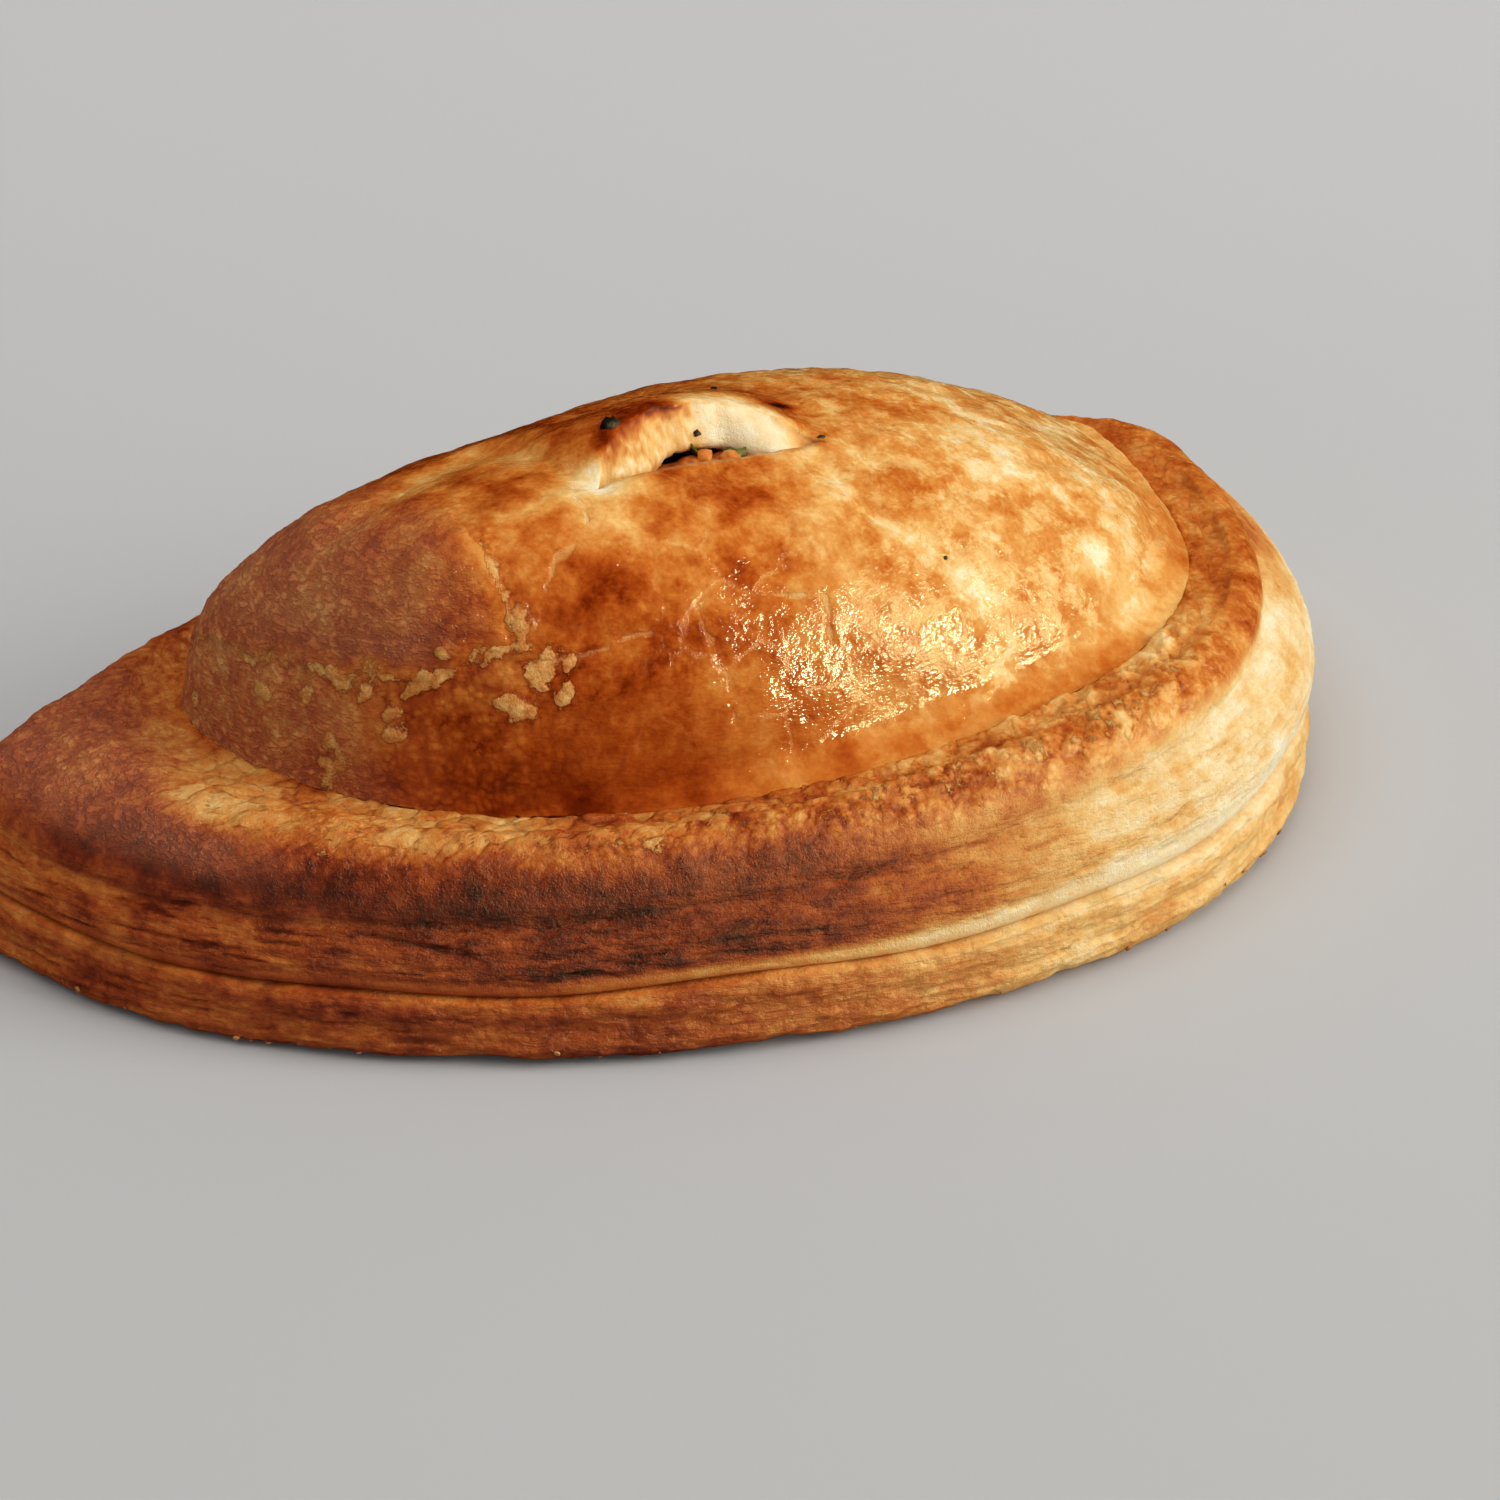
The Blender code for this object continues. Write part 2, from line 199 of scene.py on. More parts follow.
def lid_height(x, share, channel):
    """Smooth height of the lid: share is 1 at its foot and 0 at its ridge, channel the share at its foot that
    rises gently before the flank does."""
    fall = 1 - LID_END_FALL * ((x - LID_PEAK_X) / (TIP_TO_TIP / 2)) ** 2
    flank = LID_RISE * fall * (1 - np.clip(share / (1 - channel), 0, 1) ** LID_POWER) ** LID_FULLNESS
    gentle = CHANNEL_RISE * np.clip((1 - share) / channel, 0, 1) ** 1.5
    ease = blend(*CHANNEL_EASES, smooth(x, -0.050, 0.030))
    return blend(*FOOT_HEIGHTS, from_left(x)) + (flank**ease + gentle**ease) ** (1 / ease)


def foot_channel(foot):
    """Share of each spoke that the channel at the foot takes: narrow behind, widest at the right front."""
    back, front, right = CHANNEL_WIDTHS
    widest = band(foot[:, 0], -0.020, 0.020, 0.052, 0.070)
    return blend(back, blend(front, right, widest), smooth(-outward(foot)[:, 1], -0.2, 0.7))


print("top of the plain lid, mm:", mm(lid_height(LID_PEAK_X, 0, CHANNEL_WIDTHS[0])))

# %% [markdown]
# ## Unevenness and solids
# Nothing on a baked crust is even, so every surface is pushed along its own outward direction by smooth
# noise of several sizes. Noise is worked out in the object's space, so it has no seams and each piece gets
# the same grain. A piece is a stack of rings with as many points in each: its faces are even, and take
# relief well.

# %% Noise of several kinds
def noise_places(points, size, seed):
    """Where the points lie in the noise, for lumps of about the size, one number or one for each axis."""
    return (points / size + np.array([7.3, 3.1, 5.7]) * seed).tolist()


def soft_noise(points, size, seed):
    """Smooth unevenness from -1 to 1."""
    return np.array([noise.noise(place) for place in noise_places(points, size, seed)])


def rough_noise(points, size, seed, layers=3):
    """Unevenness whose lumps carry smaller lumps."""
    return np.array([noise.fractal(place, 0.9, 2.1, layers) for place in noise_places(points, size, seed)])


def patchy(points, size, seed, middle, amount):
    """Share from 0 to 1 that varies about the middle."""
    return np.clip(middle + amount * soft_noise(points, size, seed), 0, 1)


def wandering(points, amount, size, seed):
    """The points pushed about, so that whatever they are measured against gets a ragged outline."""
    return points + amount * np.column_stack([soft_noise(points, size, seed + axis) for axis in range(3)])


def blisters(points, size, seed):
    """Height of rounded scales from 0 between them to 1 on top, and a number for each scale."""
    cells = [noise.voronoi(place) for place in noise_places(points, size, seed)]
    height = [distances[1] - distances[0] for distances, _ in cells]
    return np.clip(height, 0, 1), np.array([noise.cell(centres[0] * 31.7) for _, centres in cells])


def beside_line(points, line):
    """Distance from each point to a line, positive on its left-hand side; in plan for a flat line."""
    line = np.array(line)
    nearest, side = np.full(len(points), np.inf), np.ones(len(points))
    for start, end in zip(line[:-1], line[1:]):
        run, away = end - start, points[:, :line.shape[1]] - start
        share = np.clip(away @ run / (run @ run), 0, 1)
        distance = np.linalg.norm(away - share[:, None] * run, axis=1)
        closer = distance < nearest
        nearest = np.where(closer, distance, nearest)
        side = np.where(closer, np.sign(run[0] * away[:, 1] - run[1] * away[:, 0]), side)
    return nearest * side


def near_spot(points, spot, reach):
    """1 at the spot, falling to nothing a little beyond the reach; in plan for a spot without a height."""
    away = (points[:, :len(spot)] - spot) / reach
    return np.exp(-np.sum(away**2, axis=1))


print("kinds of noise: soft, rough, patchy, wandering and blisters")

# %% Meshes from rings
def ring(plan, height):
    """One closed ring of points at the height, a number or one per spoke."""
    return np.column_stack([plan, np.broadcast_to(height, len(plan))])


def pushed(loop, amount, height):
    """Ring of the loop pushed outwards by the amount, a number or one per spoke."""
    return ring(loop + outward(loop) * np.broadcast_to(amount, len(loop))[:, None], height)


def stack_faces(levels, count, wrap=False):
    """Four-sided faces between neighbouring rings; wrap joins the last ring to the first."""
    level = np.arange(levels if wrap else levels - 1)[:, None]
    spoke = np.arange(count)[None]
    after, up = (spoke + 1) % count, (level + 1) % levels
    corners = [level * count + spoke, level * count + after, up * count + after, up * count + spoke]
    return np.stack(np.broadcast_arrays(*corners), axis=-1).reshape(-1, 4)


def face_directions(points, faces):
    """Outward direction at each point, from the faces around it."""
    across = np.cross(points[faces[:, 2]] - points[faces[:, 0]], points[faces[:, 3]] - points[faces[:, 1]])
    total = np.zeros_like(points)
    for corner in range(4):
        for axis in range(3):
            total[:, axis] += np.bincount(faces[:, corner], across[:, axis], len(points))
    return total / np.maximum(np.linalg.norm(total, axis=1, keepdims=True), 1e-12)


def welded(points, faces):
    """The same faces on points that are each there once, and the first old number of each point."""
    _, first, index = np.unique(np.round(points, 7), axis=0, return_index=True, return_inverse=True)
    return points[first], index.reshape(-1)[faces], first


def true_faces(faces):
    """The faces without the corners that a pole or a closed gap doubles."""
    single = [list(dict.fromkeys(face)) for face in faces]
    return [face for face in single if len(face) > 2]


def placed(name, data):
    """Object for the data, in the scene."""
    made = bpy.data.objects.new(name, data)
    bpy.context.scene.collection.objects.link(made)
    return made


def smooth_piece(name, points, faces, **shares):
    """Smooth mesh object, with a number at each point for every named share."""
    mesh = bpy.data.meshes.new(name)
    mesh.from_pydata(points.tolist(), [], true_faces(faces))
    mesh.validate()
    mesh.polygons.foreach_set("use_smooth", np.ones(len(mesh.polygons), bool))
    for title, values in shares.items():
        mesh.attributes.new(title, "FLOAT", "POINT").data.foreach_set("value", values.astype(np.float32))
    triangles = sum(len(face.vertices) - 2 for face in mesh.polygons)
    print(f"{name}: {len(mesh.vertices)} points, {triangles} triangles")
    return placed(name, mesh)


# %% [markdown]
# ## The puffed lid and its steam vent
# The lid is one bubble of pastry with a wall of its own. Its spokes run from the foot up to a line along
# the top. Where the steam cut is, that line is opened: the front spokes stop at the near lip and the back
# ones at the far lip, which has curled up, and rows of faces run down the torn dough into the room below. A
# Boolean could cut the vent too, but opening the line keeps the faces small and even just where the eye
# goes.

# %% Places of the vent and its creases
VENT_CENTRE, VENT_TURN = (0.0030, -0.0275), math.radians(4)
VENT_HALVES, VENT_POWERS = (0.0172, 0.0160), (2.8, 2)
NEAR_GAP, FAR_GAP = 0.0006, 0.0090
LIP_HEIGHT, LIP_SPREAD = 0.0033, 0.0145
LIP_HALVES, LIP_POWERS = (0.0185, 0.0170), (2.4, 2)
LIP_FRONT = (0.0000, 0.0045)
LEFT_CREASE = (
    (-0.0142, -0.0275), (-0.0165, -0.0190), (-0.0200, -0.0085), (-0.0314, -0.0118), (-0.0437, -0.0176),
)
RIGHT_CREASE = ((0.0160, -0.0300), (0.0192, -0.0395), (0.0261, -0.0451), (0.0315, -0.0525))
CREASE_DEPTHS, CREASE_WIDTHS = (0.0011, 0.0007), (0.0032, 0.0024)


def vent_frame(points):
    """Place of points along the vent and behind it."""
    away = points[:, :2] - VENT_CENTRE
    along = np.array([math.cos(VENT_TURN), math.sin(VENT_TURN)])
    return away @ along, away @ np.array([-along[1], along[0]])


def arch(along, halves, powers):
    """Arch from 0 at its ends to 1 between them, with a half-length and a power of its own left and right."""
    left = along < 0
    return np.clip(1 - (np.abs(along) / np.where(left, *halves)) ** np.where(left, *powers), 0, 1)


def crease(points, line, width):
    """1 on the crease, falling to nothing beside it."""
    return bell(np.abs(beside_line(points, line)), width)


def vent_relief(points):
    """Height that the curled far lip and the creases add to the lid."""
    along, behind = vent_frame(points)
    spread = np.clip((behind - FAR_GAP) / LIP_SPREAD, 0, 1)
    lip = LIP_HEIGHT * arch(along, LIP_HALVES, LIP_POWERS) * smooth(behind, *LIP_FRONT) * (1 - spread**2) ** 2
    furrow = CREASE_DEPTHS[0] * crease(points, LEFT_CREASE, CREASE_WIDTHS[0])
    furrow += CREASE_DEPTHS[1] * crease(points, RIGHT_CREASE, CREASE_WIDTHS[1])
    return lip - furrow


print("vent from lip to lip, mm:", mm(NEAR_GAP + FAR_GAP))

# %% Spokes of the lid, opened at the vent
LID_SPOKES, LID_RINGS, DOUGH_ROWS, INNER_RINGS = 800, 104, 13, 7
FORM_RINGS, FORM_REACH = 60, 0.75
LINE_PULL, BEND_FROM = (0.0150, 0.0300), 0.55
LIP_RAG, LIP_RAG_SIZE = 0.0011, 0.0026

foot = lid_foot(LID_SPOKES)
ridge = lid_ridge(foot)
channel = foot_channel(foot)
is_front = np.arange(LID_SPOKES) <= LID_SPOKES // 2
pull = fade(np.abs(ridge[:, 0] - VENT_CENTRE[0]), *LINE_PULL)
vent_y = VENT_CENTRE[1] + math.tan(VENT_TURN) * (ridge[:, 0] - VENT_CENTRE[0])
top_line = np.column_stack([ridge[:, 0], blend(ridge[:, 1], vent_y, pull)])
along_vent, _ = vent_frame(top_line)
opening = arch(along_vent, VENT_HALVES, VENT_POWERS)
vent_back = np.array([-math.sin(VENT_TURN), math.cos(VENT_TURN)])

form_steps = np.linspace(FORM_REACH, 0, FORM_RINGS)
form_plan = np.vstack([ridge + (foot - ridge) * share for share in form_steps])
form_height = lid_height(form_plan[:, 0], np.repeat(form_steps, LID_SPOKES), np.tile(channel, FORM_RINGS))
form_faces = stack_faces(FORM_RINGS, LID_SPOKES)
form_tree = BVHTree.FromPolygons(ring(form_plan, form_height).tolist(), form_faces.tolist())


def lid_level(share, to_line):
    """Ring of the plain lid at each spoke's share of the way down; near the top it bends to the line."""
    share = np.broadcast_to(share, LID_SPOKES)
    bend = smooth(1 - share, BEND_FROM, 1)
    plan = ridge + (foot - ridge) * share[:, None] + (to_line - ridge) * bend[:, None]
    height = lid_height(plan[:, 0], share, channel)
    for i in np.flatnonzero(bend):
        hit = form_tree.ray_cast(Vector((*plan[i], 1)), Vector((0, 0, -1)))[0]
        height[i] = height[i] if hit is None else hit.z
    return ring(plan, height)


torn_lip = LIP_RAG * opening * soft_noise(ring(top_line, 0), LIP_RAG_SIZE, 6) * ~is_front
near_edge = top_line - vent_back * (NEAR_GAP * opening)[:, None]
far_edge = top_line + vent_back * (FAR_GAP * opening + torn_lip)[:, None]
lid_line = np.where(is_front[:, None], near_edge, far_edge)
print("spokes that end at the vent:", int((opening > 0).sum()), "of", LID_SPOKES)

# %% Outside, torn dough and inside of the lid
SKIRT, SKIRT_OUT = 0.0032, 0.0006
LUMP, LUMP_SIZE, LUMPS_FROM = 0.0010, 0.0210, (FOOT_HEIGHTS[0], 0.036)
AJAR = (-0.0140, -0.0020, 0.0035, 0.0105)
SHUT_AT, SHUT_GAP = 0.70, 0.0003
LID_WALL, LID_THICKNESS, INSIDE_LIFT = 0.0060, 0.0056, 0.0034
DOUGH_PATH = (0, 0.22, 0.50, 0.74, 0.88, 1)
FAR_BACK = (FAR_GAP, 0.0085, 0.0070, 0.0058, 0.0064, 0.0088)
FAR_DOWN = (0.0, -0.0006, -0.0026, -0.0046, -0.0056, -0.0062)
NEAR_BACK = (-NEAR_GAP, -0.0008, -0.0010, -0.0013, -0.0017, -0.0022)

outer = [lid_level(math.cos(turn), lid_line) for turn in np.linspace(0, math.pi / 2, LID_RINGS)]
for level in outer:
    level[:, 2] += vent_relief(level)
    level[:, 2] += LUMP * soft_noise(ring(level[:, :2], 0), LUMP_SIZE, 5) * smooth(level[:, 2], *LUMPS_FROM)
lip_top = outer[-1][:, 2]
near_top = np.roll(lip_top[::-1], 1)
ajar = band(along_vent, *AJAR)

dough = []
for row in range(1, DOUGH_ROWS + 1):
    way = row / DOUGH_ROWS
    across = min(way / SHUT_AT, 1)
    shut_down = across * (near_top - lip_top - SHUT_GAP)
    shut_down -= LID_THICKNESS * max(way - SHUT_AT, 0) / (1 - SHUT_AT)
    far_back = blend(blend(FAR_GAP, -NEAR_GAP, across), np.interp(way, DOUGH_PATH, FAR_BACK), ajar)
    far_down = blend(shut_down, np.interp(way, DOUGH_PATH, FAR_DOWN), ajar)
    back = np.where(is_front, np.interp(way, DOUGH_PATH, NEAR_BACK), far_back)
    down = np.where(is_front, -LID_THICKNESS * way, far_down)
    plan = top_line + vent_back * (back * opening + torn_lip * (1 - way) ** 2)[:, None]
    dough.append(ring(plan, lip_top + blend(-LID_THICKNESS * way, down, opening)))

inner = []
wall_share = 1 - LID_WALL / np.linalg.norm(foot - ridge, axis=1)
line = top_line + vent_back * (np.where(is_front, NEAR_BACK[-1], FAR_BACK[-1]) * opening)[:, None]
for step in range(1, INNER_RINGS + 1):
    way = math.sin(step / INNER_RINGS * math.pi / 2)
    level = lid_level(way * wall_share, line)
    level[:, 2] += INSIDE_LIFT * ~is_front * opening * (1 - way) ** 2 - LID_THICKNESS
    inner.append(level)

skirt_z = blend(*FOOT_HEIGHTS, from_left(foot[:, 0])) - SKIRT
skirts = [ring(ridge + (foot - ridge) * wall_share[:, None], skirt_z), pushed(foot, SKIRT_OUT, skirt_z)]
lid_rings = outer + dough + inner + skirts
print("rings of the lid:", len(outer), "outside,", len(dough), "of torn dough,", len(inner), "inside")

# %% Join the lid along its top line
stacked = np.vstack(lid_rings)
lid_faces = stack_faces(len(lid_rings), LID_SPOKES, wrap=True)
face_level = lid_faces[:, 0] // LID_SPOKES
face_open = (opening[lid_faces[:, :2] % LID_SPOKES] > 0).any(axis=1)
between_skins = (face_level >= LID_RINGS - 1) & (face_level < LID_RINGS - 1 + DOUGH_ROWS)
lid_faces = lid_faces[face_open | ~between_skins]
lid_kind = np.repeat([0] * LID_RINGS + [1] * DOUGH_ROWS + [2] * (INNER_RINGS + 2), LID_SPOKES)
ring_number = np.repeat(np.arange(len(lid_rings)), LID_SPOKES)
lid_share = np.cos(np.linspace(0, math.pi / 2, LID_RINGS))[np.minimum(ring_number, LID_RINGS - 1)]
lid_share *= lid_kind == 0
lid_down = np.clip((ring_number - LID_RINGS + 1) / DOUGH_ROWS, 0, 1)
used = np.unique(lid_faces)
renumber = np.zeros(len(stacked), int)
renumber[used] = np.arange(len(used))
lid_at, lid_faces, kept = welded(stacked[used], renumber[lid_faces])
lid_kind, lid_share, lid_down = (values[used][kept] for values in (lid_kind, lid_share, lid_down))
print("points of the lid after joining:", len(lid_at))

# %% [markdown]
# ### What the oven did to the lid
# Egg wash browns into a thin glaze. On the left end it dried to a leathery skin that tore along a line half
# way up the flank, and under the tear lie paler lobes where flakes lifted. The middle stayed smooth and
# glossy, and the right side has cloudy cream patches and fine pale cracks. Each of these is a number kept
# at the points of the mesh, so one material can colour every piece, while lumps and furrows are moved
# points.

# %% Places on the lid, in millimetres
TEAR_LINE = (
    (-61, -4, 36.5), (-57.9, -9.9, 36.9), (-56.2, -17.2, 38.1), (-52.2, -25.5, 40.4), (-49.8, -29.7, 40.5),
    (-46.9, -32.9, 41.9), (-44.2, -36.1, 41.9), (-41.8, -38.4, 41.8), (-38, -40.3, 44.5), (-33.2, -42.7, 45.8),
    (-32.6, -40.2, 50.1), (-32.8, -34.3, 55.1),
)
LOBES = (
    (-31.7, -41.1, 49.6, 1.2), (-31.6, -42.2, 47.9, 1.6), (-31.7, -43.1, 46.4, 1.2), (-34.6, -42.1, 45.4, 1.1),
    (-30, -45.4, 43.6, 1.9), (-27.5, -46.2, 43.6, 1.3), (-31.4, -45.3, 42.3, 1.3), (-30.5, -46.2, 40.9, 1),
    (-33.7, -45.3, 38.8, 2.2), (-34.9, -44.3, 39.4, 1.4), (-32.6, -46.2, 37.9, 1.3), (-28.5, -47.3, 40.6, 1.3),
    (-43.2, -37.4, 41.1, 1.6), (-44.1, -36.8, 40.1, 1.1), (-42.1, -38.2, 41.8, 1.3), (-40.1, -38.7, 44.7, 1.1),
    (-46, -36, 36.8, 1.4), (-46.2, -36.2, 34.1, 1.5), (-50.1, -29.5, 39.9, 1.5), (-52.4, -29.6, 27.3, 1.7),
    (-51.1, -31.2, 28.5, 1.4), (-52.1, -29.4, 30.5, 1.2), (-55.7, -23.8, 28.2, 1), (-60.1, -7.4, 27.6, 1.6),
    (-56.3, -20, 34.6, 1.2), (-53.6, -25.8, 35.6, 1.2), (-48.2, -33.1, 37.9, 1.1),
)
PALE_CRACKS = (
    ((-32.6, -43.9, 44), (-28, -45.9, 44.2), (-24.8, -46.9, 44.7), (-20.9, -47.6, 45.5), (-16.5, -47.8, 46.2)),
    ((-10.8, -48.4, 47), (-9.5, -51.5, 43.4), (-8.4, -54, 39.5), (-8.5, -55.4, 35.4)),
    ((-11.2, -48.7, 46.6), (-8.6, -47.4, 48), (-5.3, -47, 48.2), (2.5, -49.1, 46.4), (6.8, -49.3, 46),
     (6.1, -52.1, 43.4), (6.2, -53.7, 41.4)),
    ((-16.2, -24.3, 55.9), (-17.9, -31.2, 56.2), (-19.9, -37.7, 54.5), (-24.5, -38.9, 53.6),
     (-27.6, -40.9, 51.4)),
    ((-45.4, -17.8, 50.9), (-43.3, -18.1, 51.9), (-38.8, -17.1, 52.9), (-33.5, -13, 52.9)),
)
# Middle, reach and amount of browning; less than nothing is cream.
TONE_SPOTS = (
    ((-1.7, -44.3), (6, 2.8), 0.10), ((-24, -43.5), (7, 4), 0.06), ((1.4, -34.5), (5, 3.5), 0.19),
    ((-8, -47.5), (6, 2.5), 0.03), ((-24, -52), (10, 5), 0.10), ((17, -12), (6, 4), 0.10),
    ((26, -33), (6, 4), 0.09), ((45, -40), (5, 5), 0.07), ((17.5, -17.1), (1.8, 0.9), 0.40),
    ((-20.2, -30.3), (5, 3), -0.22), ((-16.2, -35.6), (6, 3), -0.16), ((-11.9, -40.4), (5, 2.5), -0.07),
    ((21.9, -41.2), (4.5, 3), -0.09), ((28.9, -48.9), (3, 4), -0.12), ((37.4, -33.5), (6, 5), -0.12),
    ((52, -48), (6, 6), -0.12), ((60.5, -44), (4, 5), -0.12), ((9, -32), (5, 3), -0.06),
    ((-14.5, -27.5), (4.5, 3), -0.26), ((-10.5, -30.5), (5, 2), -0.18),
)


def on_lid(places):
    """The points of the lid nearest to some places given in millimetres."""
    places = np.array(places) / 1000
    return lid_at[np.linalg.norm(lid_at[None] - places[:, None], axis=2).argmin(axis=1)]


outside = lid_kind == 0
lid_x = lid_at[:, 0]
tear = beside_line(wandering(lid_at, 0.0007, 0.0030, 27), on_lid(TEAR_LINE))
leather = smooth(tear, -0.0008, 0.0030) * fade(lid_x + 0.004 * soft_noise(lid_at, 0.008, 28), -0.050, -0.028)
leather = np.maximum(leather, 0.85 * smooth(-lid_x + 0.004 * soft_noise(lid_at, 0.006, 30), 0.040, 0.058))
below_tear = smooth(-lid_x, 0.024, 0.040) * smooth(-tear, 0, 0.002)

ragged = wandering(lid_at, 0.0010, 0.0026, 26)
spots = on_lid([lobe[:3] for lobe in LOBES])
lobes = np.max([near_spot(ragged, spot, lobe[3] / 1000) for spot, lobe in zip(spots, LOBES)], axis=0)
beside_tear = band(-tear, -0.0002, 0.0002, 0.0004, 0.0022)
lobes = np.maximum(lobes, beside_tear * patchy(lid_at, 0.0042, 17, 0.62, 0.55))
ragged = wandering(lid_at, 0.0009, 0.0030, 18)
nearest = np.min([np.abs(beside_line(ragged, on_lid(line))) for line in PALE_CRACKS], axis=0)
pale_cracks = bell(nearest, 0.0006) * patchy(lid_at, 0.0032, 20, 0.70, 0.9)
print("lobes under the tear:", len(LOBES))

# %% Relief of the lid
plates, _ = blisters(lid_at + 0.0016 * soft_noise(lid_at, 0.005, 15)[:, None], 0.0072, 13)
lid_relief = 0.00030 * rough_noise(lid_at, (0.0085, 0.0060, 0.0065), 11, 4)
lid_relief += blend(0.00004, 0.00019, leather) * rough_noise(lid_at, (0.0022, 0.0016, 0.0013), 12)
lid_relief += 0.00026 * np.sqrt(plates) * (1 - 0.5 * leather)
lid_relief -= 0.00020 * smooth(lid_x, 0.000, 0.030) * np.abs(soft_noise(lid_at, (0.0050, 0.0036, 0.0040), 16))
lid_relief += 0.00050 * smooth(tear, -0.0002, 0.0003) * fade(lid_x, -0.036, -0.022) * fade(tear, 0.003, 0.014)
lid_relief += 0.00030 * smooth(lobes, 0.30, 0.80)
lid_relief = (1 - 0.6 * smooth(lid_share, 0.90, 0.99)) * lid_relief - 0.00018 * pale_cracks
dough_grain = 0.00034 * rough_noise(lid_at, (0.0012, 0.0012, 0.0034), 31)
dough_grain *= smooth(lid_x, -0.0140, -0.0100) * (1 - 0.5 * smooth(lid_x, -0.006, 0.010))
relief = np.where(outside, lid_relief, np.where(lid_kind == 1, dough_grain, 0))
baked_lid = lid_at + face_directions(lid_at, lid_faces) * relief[:, None]
print("relief of the lid, mm:", mm(relief.min()), "to", mm(relief.max()))

# %% Browning of the lid: wide tones first, then spots and creases, then the vent, with painted shade on its dough
along, behind = vent_frame(lid_at)
bake = 0.53 - 0.11 * smooth(lid_x, -0.016, 0.024) - 0.24 * smooth(-lid_x, 0.042, 0.060)
bake += 0.08 * smooth(lid_at[:, 1], -0.030, -0.010) * fade(lid_x, 0.020, 0.050)
bake -= 0.08 * smooth(lid_x, 0.030, 0.050) * fade(lid_share, 0.80, 0.90)
bake += 0.06 * smooth(lid_share, 0.60, 0.86) * fade(lid_x, -0.030, 0.020)
bake += 0.07 * smooth(lid_share, 0.86, 0.95) * (1 - 0.95 * smooth(lid_x, -0.030, -0.010))
bake += 0.09 * smooth(lid_share, 0.90, 0.95) * band(lid_x, 0.005, 0.020, 0.050, 0.060)
bake += 0.09 * rough_noise(lid_at, 0.0125, 21) + 0.05 * rough_noise(lid_at, 0.0036, 22)
bake += 0.10 * band(tear, 0.0002, 0.0010, 0.0020, 0.0075) * fade(lid_x, -0.040, -0.033)
for spot, reach, amount in TONE_SPOTS:
    bake += amount * near_spot(lid_at * 1000, spot, reach)
bake -= 0.19 * crease(lid_at, LEFT_CREASE, 0.0034) * (1 - 0.5 * leather)
bake -= 0.15 * crease(lid_at, RIGHT_CREASE, 0.0020) * patchy(lid_at, 0.004, 25, 0.7, 1)
beyond = behind - FAR_GAP * arch(along, VENT_HALVES, VENT_POWERS)
burnt = bell(beyond - 0.0012, 0.0022) * smooth(-along, -0.002, 0.004) * smooth(along, -0.0160, -0.0118)
bake = blend(bake, 0.84, burnt)
pale = smooth(along, -0.002, 0.003) * smooth(-along, -0.0155, -0.0105) * bell(beyond - 0.0006, 0.0030)
bake = blend(bake, 0.14, pale)
bake += 0.12 * bell(behind + 0.0020, 0.0022) * bell(along + 0.003, 0.0100, 4)
left = smooth(-along + 0.0012 * soft_noise(lid_at, 0.002, 29), -0.0028, 0.0006)
dough_tone_and_shade = blend(0.07, 0.27, left)
raw_mottle = rough_noise(lid_at, (0.0012, 0.0012, 0.0024), 23)
dough_tone_and_shade += blend(0.05, 0.26 * smooth(along, -0.0168, -0.0130), left) * raw_mottle
dough_tone_and_shade += left * 0.42 * bell(lid_down, 0.26) * smooth(along, -0.0165, -0.0115)
# Painted shade: the dough darkens towards the right end of the vent and further down into the slit.
dough_tone_and_shade += 0.32 * smooth(along, 0.0104, 0.0134) + 0.16 * smooth(lid_down, 0.7, 1)
INSIDE_BAKE = 0.40
lid_bake = np.where(lid_kind == 1, dough_tone_and_shade, np.where(lid_kind == 2, INSIDE_BAKE, bake))
print("browning of the lid:", lid_bake.min().round(2), "to", lid_bake.max().round(2))

# %% Make the lid
above_foot = fade(lid_share, 0.88, 0.95)
lid = smooth_piece(
    "puffed_lid", baked_lid - MIDDLE, lid_faces.tolist(),
    bake=np.clip(lid_bake, 0, 1),
    glaze=outside * np.clip(1 - 0.80 * leather - 0.50 * below_tear * fade(lid_share, 0.70, 0.90), 0, 1),
    leather=outside * leather, beads=outside * np.clip(0.12 + 0.25 * leather + 0.4 * below_tear, 0, 1),
    crackle=outside * blend(0.10, 0.40, smooth(lid_x, -0.034, -0.004)) * above_foot * (1 - 0.8 * leather),
    cream=outside * smooth(lid_x, -0.006, 0.030) * blend(0.4, 1, above_foot),
    lobes=outside * np.clip(lobes + 0.14 * below_tear * (lid_share < 0.93), 0, 1),
    cracks=outside * pale_cracks,
    even=np.where(outside, 0.6 * smooth(lid_share, 0.78, 0.90) * (1 - leather), 0.9 * (lid_kind == 1)),
)

# %% [markdown]
# ## The pressed rim and its layered edge
# Around the lid runs the rim, pressed flat against the base sheet and then lifted by the heat. Its inner
# side carries a band of small pale scales, its crest is lumpy, and its cut edge shows the leaves of the
# puff pastry, which gape here and there. It is one ring-shaped solid, drawn as a closed band of rings from
# the seam up the edge, over the crest and down beside the lid. Noise that is long in plan and short in
# height gives the leaves.

